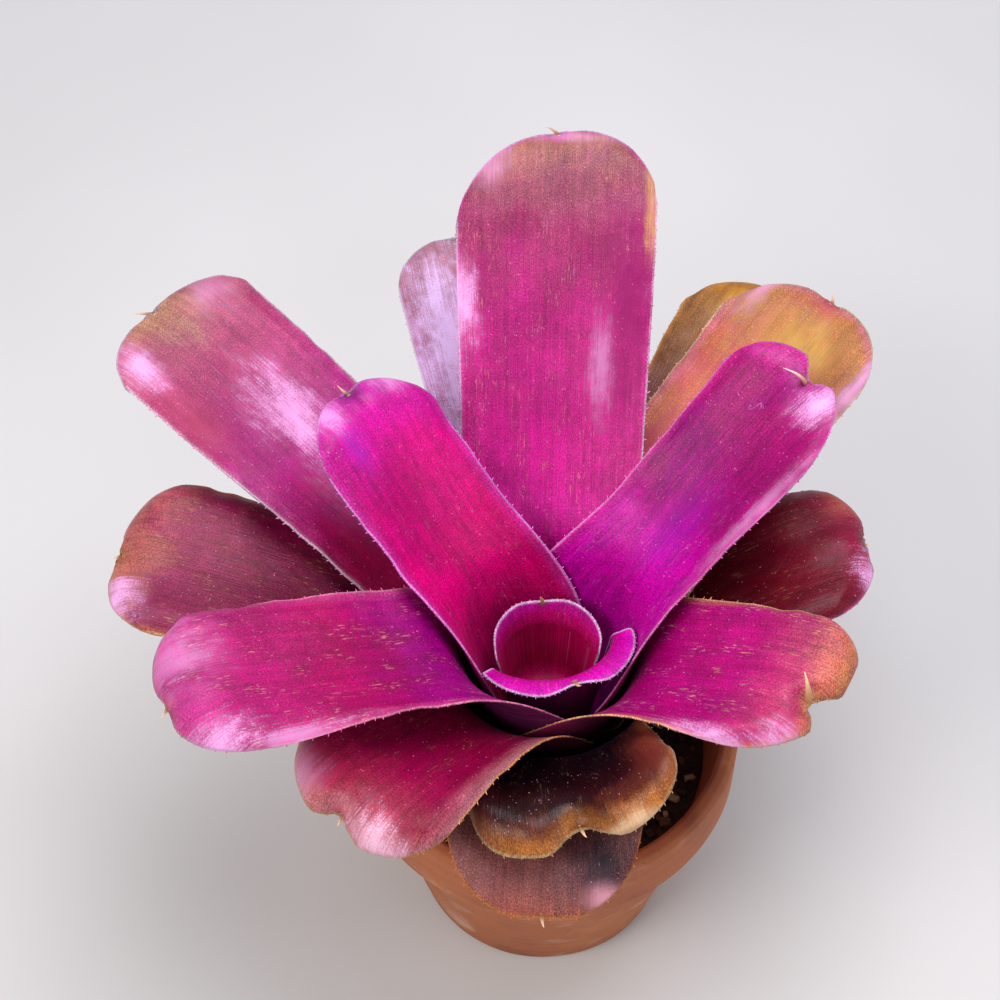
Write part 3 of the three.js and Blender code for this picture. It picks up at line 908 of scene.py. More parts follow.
    def _skin(self) -> tuple[Array, Array, int]:
        """Lays a thickened grid over the leaf's surface.

        Returns:
            The middle surface's points and normals, and the number of the blade's first row.
        """
        bm, half_width = self.bm, self.surface.half
        points, xs, us, first = self._rows()
        rims = np.minimum((1 - np.abs(us)) * half_width, np.maximum(self.surface.end(us) - xs, 0.0))
        normals = self._facing(points)
        points = points + normals * self._uneven(points, xs, us)[..., None]
        thickness = self._thickness(xs, us)
        away = np.linalg.norm(points - points[-1, self.columns // 2], axis=-1)
        rows = points.shape[0] - 1
        bmesh.ops.create_grid(bm, x_segments=rows, y_segments=self.columns, size=1.0)
        bmesh.ops.solidify(bm, geom=bm.faces[:], thickness=0.1)
        level = max(abs(v.co.z) for v in bm.verts) / 2
        map_layer = bm.loops.layers.uv.new(LEAF_MAP)
        places = {}
        for vert in bm.verts:
            j = round((vert.co.x + 1) / 2 * rows)
            k = round((vert.co.y + 1) / 2 * self.columns)
            lower = abs(vert.co.z) > level
            places[vert] = (j, k)
            vert.co = Vector(points[j, k] + normals[j, k] * (thickness[j, k] / 2 * (-1 if lower else 1)))
            self._carry(
                vert, along=xs[j, k] / self.form.length, across=us[j, k], rim=rims[j, k],
                under=float(lower), away=away[j, k],
            )
        for face in bm.faces:
            for loop in face.loops:
                j, k = places[loop.vert]
                loop[map_layer].uv = (us[j, k] * half_width * MM, xs[j, k] * MM)
        return points, normals, first

    def _tooth(self, at: Vector, arms: Matrix, size: float) -> None:
        """Adds a small hooked tooth.

        Args:
            at: the place on the margin.
            arms: columns along the margin, off the blade and outward.
            size: the tooth's length as a share of the usual one.
        """
        length = self.tooth_length * size + self.tooth_root
        made = bmesh.ops.create_cone(
            self.bm, cap_ends=True, segments=6, radius1=self.tooth_width * size, radius2=self.tooth_end,
            depth=length,
        )["verts"]
        for vert in made:
            share = vert.co.z / length + 0.5
            hook = self.hook * self.tooth_length * size * share * share
            thick = vert.co.y * self.tooth_flatness
            height = vert.co.z + length / 2 - self.tooth_root
            vert.co = at + arms @ Vector((vert.co.x + hook, thick, height))
            self._carry(vert, tooth=TOOTH_END * share, away=FAR, along=self.tooth_colour_at, rim=0.0)

    def _teeth(self, points: Array, normals: Array, first: int) -> int:
        """Adds the teeth of both margins, unevenly spaced and leaning to the tip.

        Args:
            points: the middle surface.
            normals: its normals.
            first: the number of the blade's first row.

        Returns:
            How many teeth there are.
        """
        count = 0
        middle = self.columns // 2
        size = self.bead if self.form.ring else 1.0
        for side in (slice(None, middle + 1), slice(None, middle - 1, -1)):
            edge, facing = points[:, side], normals[:, side]
            line = np.concatenate([edge[first:, 0], edge[-1, 1:]])
            inner = np.concatenate([edge[first:, 1], edge[-2, 1:]])
            up = np.concatenate([facing[first:, 0], facing[-1, 1:]])
            spans = np.linalg.norm(np.diff(line, axis=0), axis=1)
            walked = np.concatenate([[0.0], np.cumsum(spans)])
            place = self.tooth_spacing * self.random.uniform(*self.first_gap)
            while place < walked[-1] - self.bare_tip:
                j = int(np.searchsorted(walked, place)) - 1
                at = Vector(mix(line[j], line[j + 1], (place - walked[j]) / max(spans[j], 1e-6)))
                along = Vector(line[j + 1] - line[j]).normalized()
                normal = Vector(up[j])
                normal = (normal - along * normal.dot(along)).normalized()
                outward = at - Vector(inner[j])
                outward = (outward - along * outward.dot(along) - normal * outward.dot(normal)).normalized()
                arms = Matrix((along, normal, outward)).transposed()
                self._tooth(at, arms, size * self.random.uniform(*self.sizes))
                count += 1
                place += size * self.tooth_spacing * self.random.uniform(*self.gaps)
        return count

    def _point(self, points: Array, normals: Array) -> None:
        """Adds the dry, curled point in the tip's notch.

        Args:
            points: the middle surface.
            normals: its normals.
        """
        middle = self.columns // 2
        at = Vector(points[-1, middle])
        side = Vector(points[-1, middle + 1] - points[-1, middle - 1]).normalized()
        ahead = Vector(points[-1, middle] - points[-4, middle])
        ahead = (ahead - side * ahead.dot(side)).normalized()
        up = ahead.cross(side)
        if up.dot(Vector(normals[-1, middle])) < 0:
            up = -up
        arms = Matrix((side, up, ahead)).transposed()
        dry = POINTS.get(self.form.name, DryPoint())
        length = dry.length + self.point_root
        made = bmesh.ops.create_cone(
            self.bm, cap_ends=True, segments=8, radius1=dry.width, radius2=self.point_end, depth=length
        )["verts"]
        for vert in made:
            self._carry(vert, tooth=-1.0)
        around = dict.fromkeys(e for v in made for e in v.link_edges)
        upright = [e for e in around if abs(e.verts[0].co.z - e.verts[1].co.z) > length / 2]
        bmesh.ops.subdivide_edges(self.bm, edges=upright, cuts=self.point_rings)
        for vert in [v for v in self.bm.verts if v[self.layers["tooth"]] < -0.5]:
            share = vert.co.z / length + 0.5
            turn = dry.turn(share)
            thick = vert.co.y * self.point_flatness
            ring = Vector((vert.co.x, thick * math.cos(turn), -thick * math.sin(turn)))
            vert.co = at + arms @ (ring + dry.walk(share, length) - Vector((0.0, 0.0, self.point_root)))
            self._carry(vert, tooth=mix(POINT_START, 1.0, share), along=1.0, rim=0.0)

    def build(self) -> bpy.types.Object:
        """Builds the leaf and stands it in for its solid.

        Returns:
            The leaf's object.
        """
        form, name = self.form, f"{self.form.name}_skin"
        points, normals, first = self._skin()
        teeth = self._teeth(points, normals, first)
        self._point(points, normals)
        bmesh.ops.recalc_face_normals(self.bm, faces=self.bm.faces[:])
        turn = Matrix.Rotation(math.radians(form.side), 4, "Z")
        piece = finished(self.bm, name, LeafSkin(name, self.finish).build(), turn)
        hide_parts(form.name)
        LOG.info("%s: %d faces, %d teeth", form.name, len(piece.data.polygons), teeth)
        return piece


def finished(
    bm: bmesh.types.BMesh, name: str, material: bpy.types.Material, turn: Matrix = Matrix.Identity(4)
) -> bpy.types.Object:
    """Turns a mesh in the making into a smooth piece that rides on the plant.

    Args:
        bm: the mesh, in millimetres; it is freed.
        name: the piece's name.
        material: its finish.
        turn: how it is turned into its place.

    Returns:
        The object.
    """
    bmesh.ops.transform(bm, matrix=turn @ Matrix.Scale(MM, 4), verts=bm.verts[:])
    mesh = bpy.data.meshes.new(name)
    bm.to_mesh(mesh)
    bm.free()
    mesh.materials.append(material)
    mesh.shade_smooth()
    piece = bpy.data.objects.new(name, mesh)
    bpy.context.scene.collection.objects.link(piece)
    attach(piece, "root")
    return piece


FORMS: tuple[LeafForm, ...] = (
    LeafForm("leaf_01", Tone.MAGENTA, side=95, layer=0, tube=10, flare=0.12, wrap=95, length=8,
             width=32, lift=76, curl=10, tip=0.25, ring=True),
    LeafForm("leaf_02", Tone.MAGENTA, side=289, layer=1.4, tube=23, flare=0.12, wrap=76, length=6.2,
             width=33, lift=20, curl=45, tip=0.1, notch=2, skew=0.5, dip=5, ring=True),
    LeafForm("leaf_03", Tone.MAGENTA, side=145.5, layer=2.4, tube=12, wrap=85, length=60.5, width=31,
             lift=50, droop=5, curl=25, lip=2, neck=1, sway=-14),
    LeafForm("leaf_04", Tone.MAGENTA, side=33, layer=3.55, tube=12, wrap=85, length=70, width=31,
             lift=45.5, droop=5, curl=15, hollow=28, brim=1, notch=3.5, fold=1.5, lip=2.2, skew=2.5),
    LeafForm("leaf_05", Tone.MAGENTA, side=205, layer=4.55, tube=12, wrap=85, length=75, width=33.5,
             lift=30.5, droop=12, curl=30, hollow=26, brim=0.9, left=1.5, fold=1, lip=4, skew=-1.5),
    LeafForm("leaf_06", Tone.MAGENTA, side=334, layer=5.75, tube=8, wrap=84, length=54, width=36,
             lift=34, droop=15, curl=30, hollow=26, brim=0.9, notch=5, right=3, fold=1.5, lip=3.5,
             skew=7),
    LeafForm("leaf_07", Tone.ROSE, side=88.5, layer=6.9, tube=9, wrap=75, length=99, width=41, lift=42,
             droop=8, curl=20, hollow=60, tip=1, notch=0.5, skew=-3),
    LeafForm("leaf_08", Tone.WINE, side=229, layer=8, tube=4, wrap=72, length=57, width=38, lift=28,
             droop=10, curl=45, hollow=26, brim=0.4, notch=4, left=2, fold=1.5, lip=4, skew=0.5),
    LeafForm("leaf_09", Tone.ROSE, side=48, layer=8.8, tube=6, wrap=68, length=86, width=36, lift=28,
             droop=8, curl=15, hollow=45, lip=1.5),
    LeafForm("leaf_10", Tone.ROSE, side=143.3, layer=10, tube=5, wrap=66, length=98, width=37, lift=28,
             droop=8, curl=20, hollow=60, brim=0.8, tip=0.7, lip=2),
    LeafForm("leaf_11", Tone.BROWN, side=275, layer=11, tube=3, wrap=70, length=38.5, width=48,
             lift=39, droop=10, curl=35, hollow=23, brim=0.6, tip=0.6, notch=6, right=5, lip=4,
             roll=20, skew=2.5, neck=0.75),
    LeafForm("leaf_12", Tone.WINE, side=18, layer=12, tube=3, wrap=60, length=60, width=34, lift=18,
             droop=6, curl=40, hollow=40, notch=3, left=2, fold=1.5, lip=3, skew=6),
    LeafForm("leaf_13", Tone.WINE, side=171, layer=12, tube=3, wrap=62, length=78, width=37.5, lift=19,
             droop=8, curl=30, hollow=45, brim=0.8, tip=0.85, notch=2, fold=1, lip=3),
    LeafForm("leaf_14", Tone.ROSE, side=101, layer=13.2, tube=1.5, wrap=55, length=90, width=31,
             lift=18, droop=4, curl=15, hollow=50, neck=0.75),
    LeafForm("leaf_15", Tone.BROWN, side=268, layer=13.2, tube=1.5, wrap=65, length=40, width=46,
             lift=6, droop=12, curl=20, tip=1.3),
    LeafForm("leaf_16", Tone.BROWN, side=59, layer=14.8, tube=1.5, wrap=52, length=89, width=34,
             lift=13, droop=4, curl=15, hollow=50, neck=0.7),
)


# Patches in the default pale lilac tint, and leaf_08's f8c0dc, leaf_14's ecc8ff and leaf_15's e8a0b0, are
# painted highlights and sheen where the waxy bloom and rolled rims catch the light.
FINISHES: dict[str, LeafFinish] = {
    "leaf_01": LeafFinish(
        "0:e80068 0.4:f8108c 0.75:f818b8 1:f848dc", "c80068", 0.4, "f870f0", 1.0, "f8d8f4", "9c0862",
        "901c2e", tip_reach=1.5, specks=0.3,
    ),
    "leaf_02": LeafFinish(
        "0:680054 0.3:e400a4 0.6:fc00c8 1:fc1cdc", "d80094", 0.25, "fc60f4", 0.8, "fcdcfc", "680a4e",
        "bb3067", tip_reach=1.5, specks=0.3,
    ),
    "leaf_03": LeafFinish(
        "0:f00078 0.3:ff0088 0.6:f80090 0.85:f814b4 1:f82cd0", "b00068", 0.4, "f83cc0", 3.0, "f8a0f4",
        "b50d6e", "820679", tip_reach=4.5,
        light_and_tone_patches=(
            LightAndTonePatch(0.82, 0.45, 0.12, 0.25, 0.5, "9028b0"), LightAndTonePatch(0.94, 0.5, 0.07, 0.3, 0.6),
            LightAndTonePatch(0.95, -0.6, 0.06, 0.35, 0.5),
        ),
    ),
    "leaf_04": LeafFinish(
        "0:d000a8 0.25:f400c0 0.5:c00084 0.8:c00c7c 1:f038a8", "9800a8", 0.25, "f838a8", 2.4, "f890e0",
        "a10a58", "b22b7e", tip_reach=4.0, point="c8906c", spike="f8dcc8", scratches=0.5,
        light_and_tone_patches=(
            LightAndTonePatch(0.4, -0.1, 0.18, 0.5, 0.3, "9008bc", 0.7), LightAndTonePatch(0.92, -0.38, 0.08, 0.3, 0.85),
            LightAndTonePatch(0.6, -0.88, 0.3, 0.12, 0.35),
        ),
    ),
    "leaf_05": LeafFinish(
        "0:780060 0.25:b80090 0.5:d00470 0.75:d41c80 0.92:e83ca0 1:f058b0", "a8005c", 0.4, "f04ca0", 2.8,
        "f894b8", "6d0a51", "e87890", tip_reach=4.0, flecks=0.5, fleck="f0a898",
        light_and_tone_patches=(
            LightAndTonePatch(0.91, 0.75, 0.11, 0.28, 0.85), LightAndTonePatch(0.72, 0.92, 0.25, 0.1, 0.5),
            LightAndTonePatch(0.92, -0.5, 0.1, 0.5, 0.3, ragged=1.6),
        ),
    ),
    "leaf_06": LeafFinish(
        "0:980058 0.3:c40078 0.6:d80c88 0.8:e43c7c 0.92:f48068 1:f09c50", "a80080", 0.4, "f07c68", 2.0,
        "f8c088", "8d1351", "f0b068", tip_reach=4.0, flecks=0.4, fleck="f0c070", point="c88c60",
        spike="f8d4a0",
        light_and_tone_patches=(LightAndTonePatch(0.88, -0.65, 0.1, 0.25, 0.75), LightAndTonePatch(0.72, -0.92, 0.25, 0.16, 0.75)),
    ),
    "leaf_07": LeafFinish(
        "0:e000a8 0.3:ec189c 0.6:dc2890 0.75:c03c78 0.86:bc6078 0.95:cc8070 1:e07098", "c82080", 0.3,
        "f85cb8", 1.5, "f8d0f4", "a11b53", "f850b8", tip_reach=4.0, flecks=0.3, fleck="e8a080",
        light_and_tone_patches=(
            LightAndTonePatch(0.62, -0.75, 0.32, 0.4, 1.0, "900c5c", 0.6),
            LightAndTonePatch(0.84, -0.95, 0.12, 0.08, 0.55, "e8bc58"), LightAndTonePatch(0.93, 0.7, 0.06, 0.25, 0.45),
            LightAndTonePatch(0.62, 0.92, 0.1, 0.15, 0.75), LightAndTonePatch(0.5, -0.5, 0.12, 0.14, 0.35),
            LightAndTonePatch(0.98, -0.2, 0.02, 0.5, 0.35),
        ),
    ),
    "leaf_08": LeafFinish(
        "0:500014 0.35:94003c 0.65:b40050 0.85:c83058 1:e07070", "900034", 0.4, "f098a0", 5.5, "f8b060",
        "7d0f32", "d04068", tip_reach=3.5,
        light_and_tone_patches=(LightAndTonePatch(0.94, 0.5, 0.09, 0.42, 0.95, "f8c0dc"), LightAndTonePatch(0.9, -0.6, 0.08, 0.3, 0.3)),
    ),
    "leaf_09": LeafFinish(
        "0:a01850 0.35:cc5460 0.65:e07450 0.9:e08c4c 1:e89c58", "dca050", 0.4, "f490a8", 4.0, "f8e0a0",
        "8a403b", "b24a45", tip_reach=3.5, flecks=0.4,
        light_and_tone_patches=(
            LightAndTonePatch(0.8, -0.1, 0.14, 0.5, 0.5, "e4b850"), LightAndTonePatch(0.96, 0.1, 0.05, 0.35, 0.6, "b03c58"),
            LightAndTonePatch(0.55, 0.6, 0.3, 0.5, 0.4, "d85870"), LightAndTonePatch(0.84, -0.92, 0.2, 0.12, 0.6),
            LightAndTonePatch(0.9, 0.75, 0.1, 0.15, 0.35),
        ),
    ),
    "leaf_10": LeafFinish(
        "0:d80860 0.3:d80c68 0.55:cc2090 0.8:d44c84 0.93:d86c84 1:dc7c84", "b42478", 0.4, "f088b8", 1.6,
        "f8d8f0", "95245a", "dcac7c", tip_reach=14.0,
        light_and_tone_patches=(
            LightAndTonePatch(0.74, 0.8, 0.16, 0.32, 0.7, "a83458", 0.6), LightAndTonePatch(0.62, -0.15, 0.13, 0.4, 0.75),
            LightAndTonePatch(0.9, 0.7, 0.07, 0.22, 0.8), LightAndTonePatch(0.4, 0.1, 0.16, 0.35, 0.25),
            LightAndTonePatch(0.93, -0.6, 0.06, 0.3, 0.25),
        ),
    ),
    # leaf_11's run is near black up to 0.72: its dark maroon deepened with painted shade for the hollow of
    # its cupped blade; its last pale patch is a painted glint on the rolled rim
    "leaf_11": LeafFinish(
        "0:080203 0.5:140406 0.72:2c0a0a 0.84:6a2c1c 0.93:c07038 1:d88848", "200608", 0.3, "e08c44", 4.5,
        "f8cc90", "a04c30", "602010", tip_reach=3.0, roughness=0.26,
        light_and_tone_patches=(
            LightAndTonePatch(0.6, 0.85, 0.4, 0.3, 0.8, "7a3024", 0.5),
            LightAndTonePatch(0.6, -0.85, 0.4, 0.25, 0.7, "5c2028", 0.5), LightAndTonePatch(0.97, 0.3, 0.04, 0.5, 0.6, "f8d8b0"),
        ),
    ),
    "leaf_12": LeafFinish(
        "0:300008 0.4:640014 0.75:880428 0.92:b0184c 1:c84078", "800c20", 0.3, "c83878", 1.4, "f070b0",
        "5b0920", "5b1110", tip_reach=4.0, flecks=0.3,
        light_and_tone_patches=(LightAndTonePatch(0.92, -0.5, 0.08, 0.33, 0.9), LightAndTonePatch(0.93, 0.6, 0.09, 0.35, 0.6, "b86848")),
    ),
    "leaf_13": LeafFinish(
        "0:480020 0.3:680838 0.55:900c48 0.8:ac3060 0.93:d4706c 1:ec9068", "703828", 0.3, "f08868", 1.8,
        "f8bc70", "7b183b", "c0684c", tip_reach=4.0, point="1c0a08", flecks=0.4,
        light_and_tone_patches=(LightAndTonePatch(0.94, 0.65, 0.08, 0.3, 0.85),),
    ),
    "leaf_14": LeafFinish(
        "0:9c2860 0.5:bc6ca0 1:c88088", "a83c70", 0.35, "d890b8", 1.4, "f8f0f8", "86395b", "ad8364",
        tip_reach=6.0,
        light_and_tone_patches=(LightAndTonePatch(0.65, 0.4, 0.35, 0.8, 0.8, "ecc8ff"),),
    ),
    "leaf_15": LeafFinish(
        "0:6c2824 0.4:a8605c 0.8:b8706c 1:c8705c", "8c3c4c", 0.4, "e07848", 1.4, "f8a058", "e07850",
        "b84c38", tip_reach=2.0,
        light_and_tone_patches=(
            # the near-black patch is a painted shadow cast by leaf_11 above it; the pink one is a painted
            # highlight along the lit rim
            LightAndTonePatch(0.72, 0.5, 0.3, 0.5, 0.95, "181424", 0.4),
            LightAndTonePatch(0.88, 0.55, 0.08, 0.25, 0.7, "e8a0b0", 0.5),
        ),
    ),
    "leaf_16": LeafFinish(
        "0:642c24 0.5:98503c 0.85:c48444 0.95:e89838 1:f0a040", "80482c", 0.4, "e09048", 1.6, "f8bc70",
        "8a5032", "80381a", tip_reach=4.5, point="30150c", flecks=0.3,
        light_and_tone_patches=(LightAndTonePatch(0.88, 0.2, 0.08, 0.4, 0.7, "e4b040"), LightAndTonePatch(0.98, -0.2, 0.03, 0.5, 0.85, "281008")),
    ),
}


def turned(profile: list[tuple[float, float]], steps: int) -> bmesh.types.BMesh:
    """Spins a profile of radius and height round the upright axis into a closed shell.

    Args:
        profile: pairs in millimetres, from the axis to the axis.
        steps: how many faces go round.

    Returns:
        The mesh, in millimetres.
    """
    bm = bmesh.new()
    verts = [bm.verts.new((r, 0, z)) for r, z in profile]
    edges = [bm.edges.new(pair) for pair in zip(verts, verts[1:])]
    bmesh.ops.spin(
        bm, geom=verts + edges, axis=(0, 0, 1), cent=(0, 0, 0), angle=math.tau, steps=steps, use_merge=True
    )
    bmesh.ops.remove_doubles(bm, verts=bm.verts[:], dist=1e-4)
    bmesh.ops.recalc_face_normals(bm, faces=bm.faces[:])
    return bm


@dataclass(frozen=True)
class Relief:
    """The uneven top of the potting mix, in millimetres, by the same rule as its solid."""

    top: float = 46.5
    height: float = 1.1
    edge: float = 4.0
    wave_x: float = 0.9
    wave_y: float = 0.7
    swirl: float = 1.3
    cross_x: float = 0.6
    cross_y: float = 0.8

    def at(self, x: float, y: float, outer: float, hole: float) -> float:
        """Finds the height of the mix between the stem's hole and the pot's wall.

        Args:
            x: the place to the right.
            y: the place to the back.
            outer: the radius at the wall.
            hole: the radius of the stem's hole.

        Returns:
            The height.
        """
        r = math.hypot(x, y)
        inside = float(smooth((outer - r) / self.edge) * smooth((r - hole) / self.edge))
        wave = math.sin(x * self.wave_x + self.swirl * math.sin(y * self.wave_y))
        return self.top + self.height * inside * wave * math.cos(y * self.cross_y - x * self.cross_x)


@dataclass
class Pot:
    """The plain clay pot, in millimetres.

    wobble and wobble_scale: how unevenly it is turned, and its waves a millimetre
    sharp: the angle from which edges are rounded, in radians; creased: the one from which they are
    shaded as corners, in degrees
    """

    height: float = 60.0
    foot_radius: float = 28.0
    mouth_radius: float = 37.0
    rim_radius: float = 40.5
    rim_height: float = 15.0
    wall: float = 3.5
    floor: float = 4.0
    foot_bevel: float = 1.0
    rim_round: float = 1.0
    edge_round: float = 0.3
    wobble: float = 0.12
    wobble_scale: float = 0.06
    sharp: float = 0.5
    creased: float = 50.0
    drain_radius: float = 3.5
    drain_circle: float = 16.0
    drain_count: int = 3
    rows: int = 12
    steps: int = 144

    def inner_radius(self, z: float) -> float:
        """Returns the pot's inner radius at a height."""
        share = (z - self.floor) / (self.height - self.floor)
        return mix(self.foot_radius, self.rim_radius, share) - self.wall

    def _profile(self) -> list[tuple[float, float]]:
        """Draws the wall's section from the axis under the foot round to the axis on the floor.

        Returns:
            Pairs of radius and height.
        """
        under, top = self.height - self.rim_height, self.height - self.rim_round
        lip, rim = self.inner_radius(top), self.rim_radius - self.rim_round
        shares = [i / self.rows for i in range(1, self.rows)]
        foot = [(0.0, 0.0), (self.foot_radius - self.foot_bevel, 0.0), (self.foot_radius, self.foot_bevel)]
        low, high = Vector((self.foot_radius, self.foot_bevel)), Vector((self.mouth_radius, under))
        outside = [tuple(mix(low, high, s)) for s in shares]
        band = [(self.mouth_radius, under), (rim, under), (self.rim_radius, under + self.rim_round)]
        mouth = [(self.rim_radius, top), (rim, self.height), (lip + self.rim_round, self.height), (lip, top)]
        inside = [(self.inner_radius(z), z) for z in (mix(top, self.floor, s) for s in shares)]
        end = [(self.inner_radius(self.floor), self.floor), (0.0, self.floor)]
        return foot + outside + band + mouth + inside + end

    def _material(self) -> bpy.types.Material:
        """Makes fired clay with turning lines, darker blotches and a little lime bloom.

        Returns:
            The material.
        """
        shade = Shade("fired_clay")
        cloud = shade.noise(shade.place(1, 1, 1), 45.0, 5.0)
        grit = shade.noise(shade.place(1, 1, 1), 900.0, 3.0)
        lines = shade.noise(shade.place(3, 3, 260), 4.0, 3.0)
        lime = shade.noise(shade.place(1, 1, 1.6), 70.0, 6.0)
        clay = shade.ramp(cloud, "0.25:8c4a30 0.5:b0663f 0.75:c07a50")
        clay = shade.over(clay, "96523a", lines, 0.4, 0.7, 0.0, 0.3)
        clay = shade.over(clay, "d8c4b0", lime, 0.56, 0.74, 0.0, 0.4)
        clay = shade.over(clay, "7c3c26", grit, 0.6, 0.75, 0.0, 0.5)
        shade.bump(shade.sum("MULTIPLY_ADD", grit, 0.5, lines), 0.5, 0.0003)
        return shade.dress(clay, shade.span(cloud, 0.3, 0.7, 0.75, 0.92))

    def build(self) -> bpy.types.Object:
        """Turns the pot, rounds its edges and bores its drain holes.

        Returns:
            The pot's object.
        """
        bm = turned(self._profile(), self.steps)
        sharp = [
            e for e in bm.edges
            if len(e.link_faces) == 2 and e.calc_face_angle() > self.sharp
            and abs(e.verts[0].co.z - e.verts[1].co.z) < 1e-6
        ]
        bmesh.ops.bevel(
            bm, geom=sharp, offset=self.edge_round, segments=3, profile=0.5, affect="EDGES", material=-1,
            offset_type="OFFSET",
        )
        for vert in bm.verts:
            r = math.hypot(vert.co.x, vert.co.y)
            if r > 1:
                vert.co.xy *= 1 + self.wobble * (noise.noise(vert.co * self.wobble_scale) - 0.5) / r
        piece = finished(bm, "pot_turned", self._material())
        self._bore(piece)
        piece.data.set_sharp_from_angle(angle=math.radians(self.creased))
        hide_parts("pot")
        LOG.info("pot: %d faces", len(piece.data.polygons))
        return piece

    def _bore(self, piece: bpy.types.Object) -> None:
        """Cuts the drain holes through the pot's floor.

        Args:
            piece: the pot's object, whose mesh is replaced.
        """
        bm = bmesh.new()
        for i in range(self.drain_count):
            angle = math.tau * i / self.drain_count + math.pi / 2
            at = Vector((math.cos(angle), math.sin(angle), 0)) * self.drain_circle
            at.z = self.floor / 2
            bmesh.ops.create_cone(
                bm, cap_ends=True, segments=32, radius1=self.drain_radius, radius2=self.drain_radius,
                depth=3 * self.floor, matrix=Matrix.Translation(at),
            )
        bmesh.ops.transform(bm, matrix=Matrix.Scale(MM, 4), verts=bm.verts[:])
        mesh = bpy.data.meshes.new("drains")
        bm.to_mesh(mesh)
        bm.free()
        drill = bpy.data.objects.new("drains", mesh)
        bpy.context.scene.collection.objects.link(drill)
        cut = piece.modifiers.new("drains", "BOOLEAN")
        cut.operation = "DIFFERENCE"
        cut.solver = "EXACT"
        cut.object = drill
        bored = bpy.data.meshes.new_from_object(piece.evaluated_get(bpy.context.evaluated_depsgraph_get()))
        piece.modifiers.clear()
        piece.data = bored
        bpy.data.objects.remove(drill)


